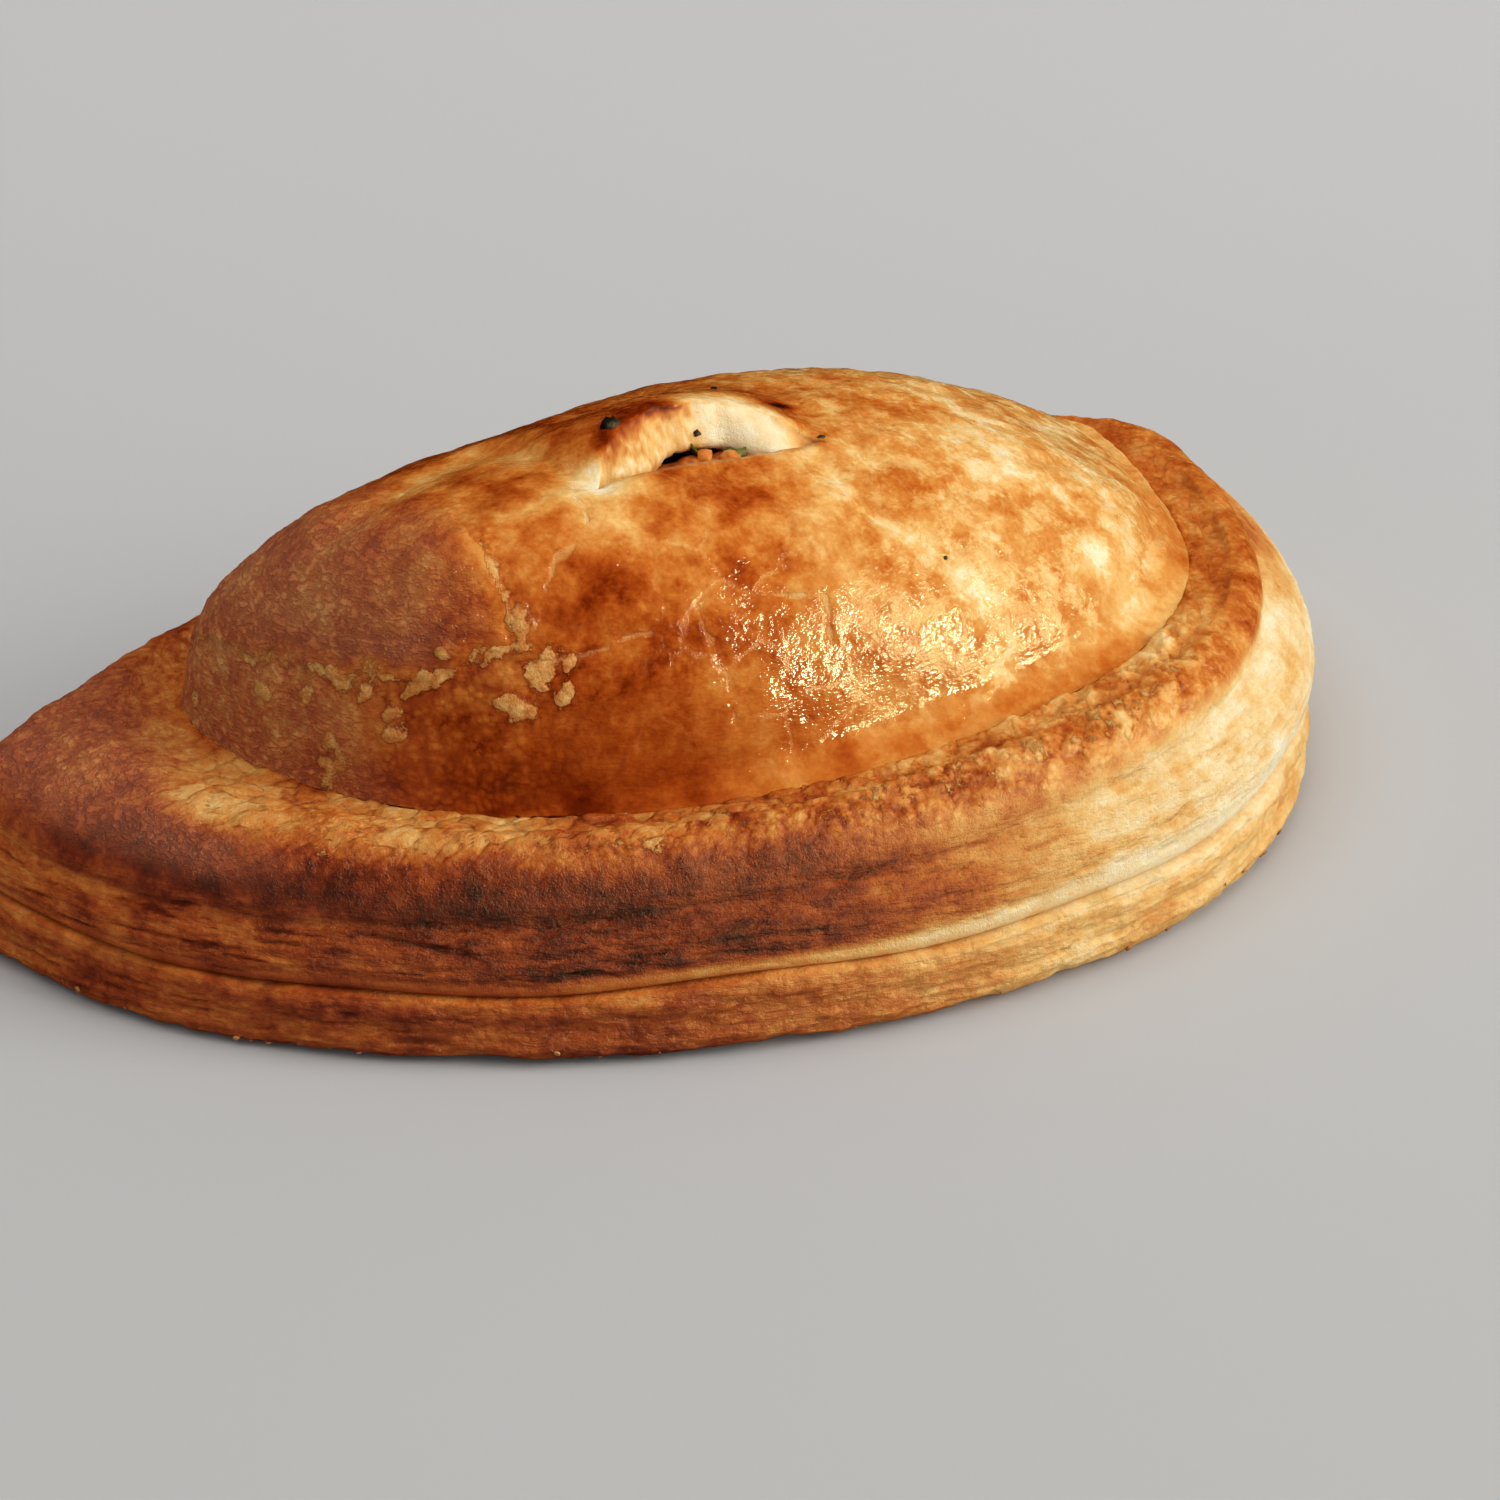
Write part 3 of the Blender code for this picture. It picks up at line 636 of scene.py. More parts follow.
# %% Rings of the rim and the edge
RIM_SPOKES, EDGE_RINGS, SHOULDER_RINGS, SLOPE_RINGS = 1200, 35, 22, 20
SEAM_HEIGHTS, SEAM_WAVE = (0.0092, 0.0108), 0.0004
SEAM_CUT, SEAM_GAPE = 0.0018, 0.0003
EDGE_FOOT_OUT, HIDDEN_IN = 0.0004, 0.0060
EDGE_BULGES, EDGE_BULGE_SHARE = (0.0004, 0.0036), 0.38
SHOULDERS_FRONT, SHOULDERS_BACK = (0.0158, 0.0245), (0.0205, 0.0245)
SHOULDERS_IN = (0.0018, 0.0048)
CREST_SHARE, CREST_RISE, FLAT_CREST = 0.62, 0.0014, (0.040, 0.064)
CREST_LUMP, CREST_LUMP_SIZE = 0.0009, 0.0090
LIP_OUT, LIP_PLACE = 0.0002, 0.10
TUCK_IN, TUCK_DOWN = (0.0012, 0.0030), (0.0006, 0.0045)


def seam_height(loop):
    """Height of the wandering seam between the two sheets."""
    around = np.arange(len(loop)) / len(loop) * 2 * math.pi
    wave = SEAM_WAVE * (np.sin(5 * around + 1) + np.sin(11 * around))
    return blend(*SEAM_HEIGHTS, from_left(loop[:, 0])) + wave


edge = sheet_outline(RIM_SPOKES)
edge_out = outward(edge)
rim_foot = lid_foot(RIM_SPOKES)
share_x = from_left(edge[:, 0])
frontness = 0.5 - 0.5 * np.tanh(3 * edge_out[:, 1])
seam_z = seam_height(edge)
shoulder_z = blend(blend(*SHOULDERS_BACK, share_x), blend(*SHOULDERS_FRONT, share_x), frontness)
shoulder_in = blend(*SHOULDERS_IN, share_x)
bulge = blend(*EDGE_BULGES, np.clip(edge_out[:, 0], 0, 1) ** 1.5)
to_widest = math.log(0.5) / math.log(EDGE_BULGE_SHARE)
rim_run = rim_foot - edge
crest_rise = CREST_RISE * (1 - 0.8 * smooth(rim_foot[:, 0], *FLAT_CREST))
crest_z = blend(*FOOT_HEIGHTS, from_left(rim_foot[:, 0])) + crest_rise
crest_start = np.clip(shoulder_in / np.linalg.norm(rim_run, axis=1), 0, CREST_SHARE * 0.7)


def crest_ring(share, height, seed, lumpy):
    """Ring at a share of the way from the edge to the lid's foot, with the lumps of the crest."""
    plan = edge + rim_run * share
    return ring(plan, height + CREST_LUMP * soft_noise(ring(plan, 0), CREST_LUMP_SIZE, seed) * lumpy)


rim_rings = [pushed(edge, inset, seam_z + SEAM_GAPE / 2) for inset in (-HIDDEN_IN, -EDGE_FOOT_OUT - SEAM_CUT)]
for up in np.arange(EDGE_RINGS) / (EDGE_RINGS - 1):
    profile = blend(EDGE_FOOT_OUT, -shoulder_in, up**2) + bulge * math.sin(math.pi * up**to_widest)
    profile = profile + LIP_OUT * bell(up - LIP_PLACE, LIP_PLACE)
    rim_rings.append(pushed(edge, profile, blend(seam_z + SEAM_GAPE, shoulder_z, up)))
for step in range(1, SHOULDER_RINGS + 1):
    turn = step / SHOULDER_RINGS * math.pi / 2
    share = blend(crest_start, CREST_SHARE, 1 - math.cos(turn))[:, None]
    rim_rings.append(crest_ring(share, blend(shoulder_z, crest_z, math.sin(turn)), 2, math.sin(turn)))
for step in range(1, SLOPE_RINGS + 1):
    up = step / SLOPE_RINGS
    height = crest_z - crest_rise * math.sin(up * math.pi / 2)
    rim_rings.append(crest_ring(blend(CREST_SHARE, 1, up), height, 3, 1 - up))
rim_rings.append(pushed(rim_foot, -TUCK_IN[0], crest_z - crest_rise - TUCK_DOWN[0]))
for height in (crest_z - TUCK_DOWN[1], seam_z + SEAM_GAPE / 2):
    rim_rings.append(pushed(rim_foot, -TUCK_IN[1], height))
rim_at = np.vstack(rim_rings)
rim_faces = stack_faces(len(rim_rings), RIM_SPOKES, wrap=True)
rim_level = np.repeat(np.arange(len(rim_rings)), RIM_SPOKES)
edge_up = np.clip((rim_level - 2) / (EDGE_RINGS - 1), 0, 1)
rim_up = np.clip((rim_level - 1 - EDGE_RINGS) / SHOULDER_RINGS, 0, 1)
rim_up = rim_up + np.clip((rim_level - 1 - EDGE_RINGS - SHOULDER_RINGS) / SLOPE_RINGS, 0, 1)
print("rings of the rim:", len(rim_rings))

# %% Leaves, gaps, scales and lumps of the rim
LEAF_PITCH, PLATE_SIZE, BUMP_SIZE = 0.00125, 0.0035, 0.0027


def leaves(points, seed):
    """Relief of the pastry leaves on a cut edge, from 0 in their undercuts to 1 on their lips."""
    waver = 1.3 * soft_noise(points, 0.018, seed) + 0.5 * soft_noise(points, 0.0055, seed + 1)
    level = points[:, 2] / LEAF_PITCH + waver
    number = np.floor(level)
    apart = points / (0.0085, 0.0085, 1.0)
    apart[:, 2] = number * 3.7
    ridges = 1 - 2 * np.abs(soft_noise(points, (0.0090, 0.0090, 0.0011), seed + 3))
    lips = 0.62 * (level - number) ** 1.6 * patchy(apart, 1.0, seed + 2, 0.45, 0.9)
    return lips + 0.38 * np.clip(ridges, 0, 1)


def slits(points, seed):
    """Where a gap between two leaves gapes: 1 in the gap."""
    warped = points.copy()
    warped[:, 2] += 0.0010 * soft_noise(points, 0.016, seed) + 0.0004 * soft_noise(points, 0.004, seed + 1)
    return smooth(soft_noise(warped, (0.0085, 0.0085, 0.0007), seed + 5), 0.34, 0.46)


rim_x = rim_at[:, 0]
rightness = smooth(rim_x, -0.010, 0.054)
is_back = smooth(rim_at[:, 1], -0.030, 0.010)
on_edge = smooth(edge_up, 0, 0.06) * fade(rim_up, 0, 0.3)
on_top = band(rim_up, 0.15, 0.5, 1.9, 2.0)
crumpled = band(rim_x, -0.012, 0.010, 0.050, 0.064)
far_right = smooth(rim_x, 0.052, 0.070)
bent = wandering(rim_at, 0.0016, 0.0036, 44)
plate_height, plate_number = blisters(bent, PLATE_SIZE, 41)
bump_height, bump_number = blisters(bent, BUMP_SIZE, 47)
plate_start = blend(0.52, 0.90, smooth(rim_x, -0.050, 0.000))
plate_band = smooth(rim_up - plate_start, 0, 0.26) * (1 - 0.8 * is_back) * smooth(rim_x, -0.078, -0.066)
plate_band *= patchy(rim_at, 0.011, 40, 0.85, 0.8) * (1 - 0.75 * smooth(rim_x, -0.005, 0.030))
bump_band = smooth(rim_up, 0.35, 0.75) * (1 - plate_band) * (1 - 0.8 * np.maximum(far_right, 0.6 * is_back))
leaf_relief = leaves(rim_at, 42)
gaps = slits(rim_at, 46) * on_edge * smooth(edge_up, 0.05, 0.2) * (1 - 0.75 * is_back)
streaky = on_edge * smooth(edge_up, 0.16, 0.32) * blend(0.75, 0.6, rightness)
crumple = rough_noise(rim_at, (0.0034, 0.0034, 0.0028), 50) * crumpled * (1 - is_back) * on_top
torn_inside = smooth(rim_up, 1.30, 1.55) * band(rim_x, 0.018, 0.032, 0.056, 0.066) * (1 - is_back)
tatters = rough_noise(bent, (0.0032, 0.0032, 0.0032), 54, 4)

rim_relief = streaky * (0.00056 * leaf_relief - 0.00020 + 0.00012 * rough_noise(rim_at, 0.0012, 43, 2))
rim_relief -= 0.00034 * gaps
rim_plates = 0.00034 * np.clip(plate_height * 3.0, 0, 1) - 0.00015 + 0.00018 * (plate_number - 0.5)
rim_relief += plate_band * rim_plates
rim_relief += bump_band * blend(0.00050, 0.00062, crumpled) * (np.sqrt(bump_height) - 0.5)
rim_lumps = 0.00036 * rough_noise(rim_at, 0.0055, 48) + 0.00010 * rough_noise(rim_at, 0.0014, 49, 2)
rim_relief += on_top * rim_lumps
rim_relief += 0.00062 * crumple + torn_inside * fade(rim_up, 1.94, 2.0) * (0.00035 + 0.0008 * tatters)
rim_relief *= (rim_level >= 2) & (rim_level < len(rim_rings) - 3)
baked_rim = rim_at + face_directions(rim_at, rim_faces) * rim_relief[:, None]
print("relief of the rim, mm:", mm(rim_relief.min()), "to", mm(rim_relief.max()))

# %% Browning of the rim, with painted shade in the leaves of its edge and between the bumps of its top: the cut edge, the top, and the scales and burnt band on it
edge_bake = blend(0.60, 0.20, np.clip(rightness + 0.45 * is_back, 0, 1)) + 0.19 * bell(rim_x + 0.026, 0.028)
above_seam = fade(edge_up, blend(0.14, 0.24, rightness), blend(0.32, 0.46, rightness))
seam_bake = blend(0.29, 0.12, smooth(rim_x, -0.035, 0.015))
edge_bake = blend(edge_bake, seam_bake, 0.95 * above_seam * smooth(rim_x, -0.060, -0.026))
# Painted shade: the cut edge is darker in the undercuts of its leaves and in the gaps between them, and paler
# on their lips.
edge_bake += 0.07 * soft_noise(rim_at, (0.016, 0.016, 0.004), 51) - 0.10 * leaf_relief
edge_bake += blend(0.09, 0.03, rightness) * gaps
top_bake = blend(0.58, 0.42, smooth(rim_x, -0.075, 0.045)) + 0.08 * far_right
top_bake += 0.07 * rough_noise(rim_at, 0.0075, 52)
# Painted light and shade on the top: paler on the tops of its bumps, crumples and tatters, darker between
# them; each bump also gets a random tone of its own.
bump_tone_and_shade = 0.12 - 0.20 * np.sqrt(bump_height) + 0.10 * (bump_number - 0.5)
top_bake += bump_band * blend(1, 0.6, rightness) * bump_tone_and_shade
top_bake = blend(top_bake - 0.15 * crumple, 0.34 - 0.26 * tatters, 0.8 * torn_inside)
band_bake = blend(0.36, 0.57, smooth(rim_x, -0.055, -0.020)) + 0.12 * (plate_number - 0.5)
band_bake = np.maximum(band_bake + 0.07 * rough_noise(rim_at, 0.0050, 53, 2), 0.31)
top_bake = blend(top_bake, band_bake, plate_band)
burnt_band = bell(rim_up - 0.30, 0.30) * fade(rim_x, -0.022, 0.014) * (1 - is_back)
golden_end = smooth(rim_x, 0.060, 0.078) * smooth(rim_at[:, 1], -0.052, -0.030)
golden_top = smooth(rim_up, 0.0, 0.35) + golden_end * smooth(edge_up, 0.48, 0.78)
rim_bake = blend(edge_bake, top_bake, np.clip(golden_top, 0, 1))
rim_bake = blend(rim_bake, 0.82, 0.87 * burnt_band) + 0.08 * smooth(rim_up, 1.90, 2.0)
flecks = band(rim_up, 0.30, 0.80, 1.50, 1.85) * (1 - is_back) * fade(rim_x, 0.050, 0.064)
flecks *= (1 - 0.7 * plate_band) * smooth(rim_x, -0.082, -0.066) * patchy(rim_at, 0.0050, 55, 0.40, 0.25)
rim_glaze = smooth(rim_up, 0, 0.4) * blend(0.35, 0.7, rightness) * (1 - 0.6 * plate_band)
rim = smooth_piece(
    "rim_and_edge", baked_rim - MIDDLE, rim_faces.tolist(),
    bake=np.clip(rim_bake, 0.02, 1), glaze=rim_glaze + 0.6 * smooth(rim_up, 1.85, 2),
    leafy=streaky * blend(1.0, 0.7, rightness), cream=0.35 * on_edge * rightness,
    even=on_edge * blend(0.4, 0.7, above_seam),
    beads=on_top * (1 - 0.7 * plate_band) * (1 - 0.8 * burnt_band) * blend(0.7, 0.4, rightness),
    leather=on_top * (1 - plate_band) * smooth(-rim_x, 0.058, 0.072),
    plates=plate_height, plated=plate_band, lobes=flecks,
)

# %% [markdown]
# ## The base sheet
# The base sheet lay flat while it baked, so it stayed thin and took an even golden brown, darker at its
# foot. It is a disc of pastry with a few soft leaves in its side. The seam to the rim stays a dark open
# line.

# %% Make the base sheet
BASE_SPOKES, BASE_SIDE_RINGS, UNDERSIDE_RINGS = 1000, 30, 12
BASE_OUT, BASE_CENTRE_HEIGHT, HIDDEN_WAYS = (0.0022, 0.0028), 0.0095, (0.9, 0.5)
BASE_PROFILE = ((0.0034, 0), (0.0006, 0.14), (0, 0.30), (0.0005, 0.52), (0.0004, 0.80), (0.0009, 0.975))

base_edge = sheet_outline(BASE_SPOKES)
base_top = seam_height(base_edge)
base_out = blend(*BASE_OUT, from_left(base_edge[:, 0]))
base_middle = base_edge.mean(axis=0)
tucks, rises = np.array(BASE_PROFILE).T


def drawn_in(level, way):
    """The ring drawn in towards the middle of the base."""
    return ring(base_middle + (level[:, :2] - base_middle) * way, level[:, 2])


lowest = pushed(base_edge, base_out - tucks[0], 0)
base_rings = [drawn_in(lowest, way) for way in np.linspace(0, 1, UNDERSIDE_RINGS)]
for step in range(1, BASE_SIDE_RINGS + 1):
    up = step / BASE_SIDE_RINGS * rises[-1]
    base_rings.append(pushed(base_edge, base_out - np.interp(up, rises, tucks), base_top * up))
top_ring = pushed(base_edge, -EDGE_FOOT_OUT - SEAM_CUT, base_top - SEAM_GAPE / 2)
base_rings += [top_ring] + [drawn_in(top_ring, way) for way in HIDDEN_WAYS]
base_rings.append(ring(np.tile(base_middle, (BASE_SPOKES, 1)), BASE_CENTRE_HEIGHT))
base_at, base_faces, kept = welded(np.vstack(base_rings), stack_faces(len(base_rings), BASE_SPOKES))
base_level = np.repeat(np.arange(len(base_rings)), BASE_SPOKES)[kept]
side_up = np.clip((base_level - UNDERSIDE_RINGS + 1) / BASE_SIDE_RINGS, 0, 1)
below_top = base_level < UNDERSIDE_RINGS + BASE_SIDE_RINGS
on_side = smooth(side_up, 0.02, 0.15) * below_top
base_leaves = leaves(base_at, 61)
base_relief = 0.00036 * base_leaves - 0.0001 + 0.00045 * rough_noise(base_at, (0.010, 0.010, 0.005), 62)
base_relief += 0.00022 * rough_noise(base_at, (0.0026, 0.0026, 0.0016), 66)
base_relief -= 0.0006 * slits(base_at, 63) * band(side_up, 0.2, 0.4, 0.70, 0.85)
base_relief *= on_side
bottom = fade(side_up, 0.02, 0.22) * (base_level >= UNDERSIDE_RINGS - 2) * below_top
base_directions = face_directions(base_at, base_faces)
baked_base = base_at + base_directions * base_relief[:, None]
baked_base += base_directions * (1, 1, 0) * (bottom * 0.00040 * rough_noise(base_at, 0.0030, 67))[:, None]
base_right = smooth(base_at[:, 0], -0.040, 0.044)
base_bake = blend(0.68, 0.30, np.clip(base_right + 0.3 * smooth(base_at[:, 1], -0.03, 0.01), 0, 1))
base_bake -= 0.02 * bell(base_at[:, 0] - 0.018, 0.022)
# Random tone, and painted shade: the side is darker in the undercuts of its leaves and paler on their lips.
base_bake += 0.10 * soft_noise(base_at, (0.010, 0.010, 0.005), 64) - 0.05 * base_leaves
base_bake -= 0.10 * smooth(side_up, 0.82, 0.95)
base_bake += blend(0.22, 0.10, base_right) * fade(side_up, 0.03, 0.22)
base_bake += 0.05 * rough_noise(base_at, 0.004, 65)
base = smooth_piece(
    "base_sheet", baked_base - MIDDLE, base_faces.tolist(),
    bake=np.clip(base_bake, 0.02, 1), glaze=np.full(len(base_at), 0.15), beads=0.3 * on_side,
    even=on_side * 0.8, leafy=0.5 * on_side * blend(1, 0.4, base_right), cream=0.3 * on_side * base_right,
    crumbs=np.clip(fade(side_up, 0.15, 0.35) * on_side, 0, 1),
)

# %% [markdown]
# ## The filling
# Only a glimpse of the filling shows through the vent: dark sauce, orange dice and something green. It is a
# whole heap under the lid all the same, because a cut pasty would show it. The heap is one solid that
# follows the room, and the dice are strewn over it below.

# %% Make the heap of filling
HEAP_SPOKES, HEAP_RINGS = 360, 70
HEAP_GAP, HEADROOM, HEAP_FLOOR = 0.0003, 0.0016, 0.0105
HEAP_LUMP, HEAP_LUMP_SIZE = 0.0007, 0.0075
VENT_HEAP, VENT_HEAP_REACH, SHOWN_REACH = 0.0052, (0.0110, 0.0030, 0.0056), (0.0105, 0.0026, 0.0045)


def by_vent(points, along_reach, middle, behind_reach):
    """1 under the vent, falling to nothing outside the reaches."""
    along, behind = vent_frame(points)
    return np.exp(-((along / along_reach) ** 4) - (((behind - middle) / behind_reach) ** 4))


heap_foot = lid_foot(HEAP_SPOKES)
heap_ridge = lid_ridge(heap_foot)
heap_run = heap_foot - heap_ridge
heap_wall = 1 - (LID_WALL + 2 * HEAP_GAP) / np.linalg.norm(heap_run, axis=1)
heap_rings = [ring(np.tile(heap_ridge.mean(axis=0), (HEAP_SPOKES, 1)), HEAP_FLOOR + HEAP_GAP),
              ring(heap_ridge + heap_run * heap_wall[:, None], HEAP_FLOOR + HEAP_GAP)]
for step in range(HEAP_RINGS + 1):
    share = heap_wall * math.cos(step / HEAP_RINGS * math.pi / 2)
    plan = heap_ridge + heap_run * share[:, None]
    level = ring(plan, lid_height(plan[:, 0], share, foot_channel(heap_foot)) - LID_THICKNESS - HEADROOM)
    level[:, 2] += HEAP_LUMP * soft_noise(ring(plan, 0), HEAP_LUMP_SIZE, 8)
    level[:, 2] += VENT_HEAP * by_vent(level, *VENT_HEAP_REACH)
    heap_rings.append(level)
heap_at, heap_faces, kept = welded(np.vstack(heap_rings), stack_faces(len(heap_rings), HEAP_SPOKES))
heap_shown = np.repeat(np.arange(len(heap_rings)) > 2, HEAP_SPOKES)[kept]
heap_relief = heap_shown * (0.0008 * blisters(heap_at, 0.0032, 71)[0] - 0.0004)
under_vent = by_vent(heap_at, *SHOWN_REACH) * heap_shown
lumpy_heap = heap_at + face_directions(heap_at, heap_faces) * heap_relief[:, None]
heap = smooth_piece(
    "filling_heap", lumpy_heap - MIDDLE, heap_faces.tolist(),
    under_vent=under_vent * blend(0.15, 1, smooth(vent_frame(heap_at)[0], -0.0060, -0.0010)),
)

# %% [markdown]
# ## Materials
# One recipe colours all the pastry. It reads the browning at each point, which at places also holds painted
# shade, adds mottling, the pale crackle of the glaze and a painted shadow beside each torn flake, and looks
# the result up in a ramp from unbaked dough over gold and chestnut to burnt. The same patterns drive the gloss
# and a fine bump, so a crack is paler, duller and lower at once. Patterns read Object coordinates in metres,
# so a scale of 400 gives spots of about two and a half millimetres.

# %% Nodes and a finish made of them
def fill(tree, node, inputs):
    """Set a node's inputs, by name or number, to values or links from sockets."""
    for name, value in inputs.items():
        if isinstance(value, bpy.types.NodeSocket):
            tree.links.new(value, node.inputs[name])
        else:
            node.inputs[name].default_value = value


def add_node(tree, kind, inputs={}, **settings):
    """New node with its inputs and settings."""
    made = tree.nodes.new(kind)
    for name, value in settings.items():
        setattr(made, name, value)
    fill(tree, made, inputs)
    return made


def linear(red, green, blue):
    """Colour for a node from the 0 to 255 values that a screen shows."""
    return tuple((value / 255) ** 2.2 for value in (red, green, blue)) + (1,)


class Finish:
    """A material in the making, with a method for each kind of pattern or sum in its tree."""

    def __init__(self, name):
        self.material = bpy.data.materials.new(name)
        self.material.use_nodes = True
        self.tree = self.material.node_tree
        self.node = partial(add_node, self.tree)
        self.place = self.node("ShaderNodeTexCoord").outputs["Object"]

    def shade(self, inputs):
        """Set the shader's own sockets."""
        fill(self.tree, self.tree.nodes["Principled BSDF"], inputs)

    def share(self, name):
        """The number kept at each point of the mesh; 0 where a mesh lacks it."""
        return self.node("ShaderNodeAttribute", attribute_name=name).outputs["Fac"]

    def calc(self, operation, *values, clamp=False):
        """Sum of numbers."""
        made = self.node("ShaderNodeMath", dict(enumerate(values)), operation=operation, use_clamp=clamp)
        return made.outputs[0]

    def times(self, value, other):
        """The value times the other."""
        return self.calc("MULTIPLY", value, other)

    def vector(self, operation, *values):
        """Sum of places."""
        return self.node("ShaderNodeVectorMath", dict(enumerate(values)), operation=operation).outputs[0]

    def layered(self, number, *rows, clamp=False):
        """The number with rows added to it: a pattern, its middle, an amount and, if given, a share of it."""
        for pattern, middle, amount, *share in rows:
            pattern = self.calc("SUBTRACT", pattern, middle) if middle else pattern
            amount = self.times(share[0], amount) if share else amount
            number = self.calc("MULTIPLY_ADD", pattern, amount, number, clamp=clamp)
        return number

    def between(self, value, low, high):
        """The value's place between low and high, eased and clamped."""
        return self.node("ShaderNodeMapRange", {"Value": value, "From Min": low, "From Max": high},
                         interpolation_type="SMOOTHSTEP").outputs["Result"]

    def grain(self, scale, detail=3.0, roughness=0.5, place=None, output="Fac"):
        """Noise from 0 to 1."""
        inputs = {"Vector": place or self.place, "Scale": scale, "Detail": detail, "Roughness": roughness}
        return self.node("ShaderNodeTexNoise", inputs).outputs[output]

    def cells(self, scale, place, feature):
        """Distance in a pattern of uneven cells."""
        made = self.node("ShaderNodeTexVoronoi", {"Vector": place, "Scale": scale}, feature=feature)
        return made.outputs["Distance"]

    def ramp(self, value, stops):
        """Colour ramp through (place, colour) stops."""
        made = self.node("ShaderNodeValToRGB", {"Fac": value})
        for _ in stops[2:]:
            made.color_ramp.elements.new(0.5)
        for element, (place, colour) in zip(made.color_ramp.elements, stops):
            element.position, element.color = place, linear(*colour)
        return made.outputs["Color"]

    def bump(self, height, strength, distance):
        """Normal for fine relief."""
        inputs = {"Height": height, "Strength": strength, "Distance": distance}
        return self.node("ShaderNodeBump", inputs).outputs["Normal"]


# %% Patterns of the baked pastry
look = Finish("baked_pastry")
lumps = look.between(look.grain(150, 4, 0.55), 0.30, 0.70)
spots, specks, sand = look.grain(420, 4, 0.6), look.grain(1400, 4, 0.65), look.grain(4200, 2, 0.6)
bend = look.grain(260, 4, output="Color")
bent_place = look.vector("MULTIPLY_ADD", bend, (0.0026, 0.0026, 0.0026), look.place)
bead = look.between(look.cells(780, bent_place, "F1"), 0.75, 0.05)
# Cracks of the glaze: borders of uneven cells, shown in patches.
net = look.layered(look.cells(130, bent_place, "DISTANCE_TO_EDGE"), (specks, 0.5, 0.06))
web = look.times(look.between(net, 0.055, 0.010), look.between(look.grain(170, 2), 0.42, 0.60))
web = look.times(web, look.share("crackle"))
long_crack = look.between(look.layered(look.share("cracks"), (specks, 0.5, 0.9)), 0.40, 0.80)
crack = look.calc("MAXIMUM", web, long_crack)
# Torn flakes with a painted shadow beside their edge, cloudy cream patches and the plates of the rim.
flake_field = look.layered(look.share("lobes"), (spots, 0.5, 1.6), (specks, 0.5, 0.7))
flake = look.between(flake_field, 0.50, 0.66)
# Painted shadow: a thin ring just outside each torn flake, darkened in the browning below.
painted_flake_shadow = look.calc("SUBTRACT", look.between(flake_field, 0.34, 0.50), flake)
clouds = look.between(look.grain(260, 6, 0.68, bent_place), 0.46, 0.58)
clouds = look.times(clouds, look.share("cream"))
furrow = look.between(look.layered(look.share("plates"), (spots, 0.5, 0.16)), 0.14, 0.02)
furrow = look.times(furrow, look.share("plated"))
# Wrinkles of the dry skin and ripples of the glaze, both long in plan and short in height.
squat = look.vector("MULTIPLY", look.place, (0.8, 0.8, 1.7))
wrinkle = look.calc("ABSOLUTE", look.layered(0.0, (look.grain(700, 4, 0.6, squat), 0.5, 1.0)))
wrinkle = look.between(wrinkle, 0.0, 0.10)
ripple = look.grain(1500, 1.5, 0.6, squat)
# Streaks of the leaves: noise that is long in plan and short in height, and wavers.
wavy_place = look.vector("MULTIPLY_ADD", bend, (0.0020, 0.0020, 0.0011), look.place)
flat = look.vector("MULTIPLY", wavy_place, (1, 1, 4))
streaks = look.between(look.grain(150, 5, 0.60, flat), 0.30, 0.70)
hairs = look.grain(560, 3, 0.6, flat)
print("nodes for the patterns:", len(look.tree.nodes))

# %% Colour, gloss and fine relief of the baked pastry
BAKE_STOPS = (
    (0.00, (250, 236, 200)), (0.12, (246, 216, 160)), (0.26, (236, 184, 108)), (0.40, (218, 145, 70)),
    (0.52, (198, 109, 42)), (0.64, (168, 74, 25)), (0.76, (124, 44, 12)), (0.88, (74, 26, 10)),
    (1.00, (32, 14, 8)),
)
DUST = (192, 112, 82)
leathery, glazed, leafy, beaded = (look.share(name) for name in ("leather", "glaze", "leafy", "beads"))
mottled = look.layered(1.0, (look.share("even"), 0, -0.65))
# The ring beside each flake adds a painted shadow to the browning.
browned = look.layered(
    look.share("bake"), (lumps, 0.5, 0.18, mottled), (spots, 0.5, 0.34, mottled), (specks, 0.5, 0.24, mottled),
    (bead, 0.6, -0.20, beaded), (streaks, 0.5, 0.20, leafy), (hairs, 0.5, 0.22, leafy), (clouds, 0, -0.13),
    (crack, 0, -0.13), (wrinkle, 0.7, -0.09, leathery), (painted_flake_shadow, 0, 0.05))
flaky = look.layered(0.39, (spots, 0.5, -0.8), (specks, 0.5, 0.6))
browned = look.layered(browned, (flaky, browned, 0.85, flake))
browned = look.layered(browned, (furrow, 0, 0.11), clamp=True)
dust = look.times(leathery, look.layered(0.46, (flake, 0, -0.38)))
baked = look.ramp(browned, BAKE_STOPS)
dusty = look.node("ShaderNodeMix", {0: dust, 6: baked, 7: linear(*DUST)}, data_type="RGBA")
loose = look.calc("MAXIMUM", look.calc("MAXIMUM", crack, flake), look.times(clouds, 0.45))
wet = look.times(glazed, look.layered(1.0, (loose, 0, -0.85)))
LEAST_ROUGH = 0.08
dull = look.calc("MAXIMUM", look.layered(0.56, (wet, 0, -0.46), (specks, 0.5, 0.14)), LEAST_ROUGH)
height = look.layered(0.0, (sand, 0.5, 0.4), (specks, 0.5, 0.8), (spots, 0.5, 0.5))
height = look.times(height, look.times(look.layered(1.0, (wet, 0, -0.95)), mottled))
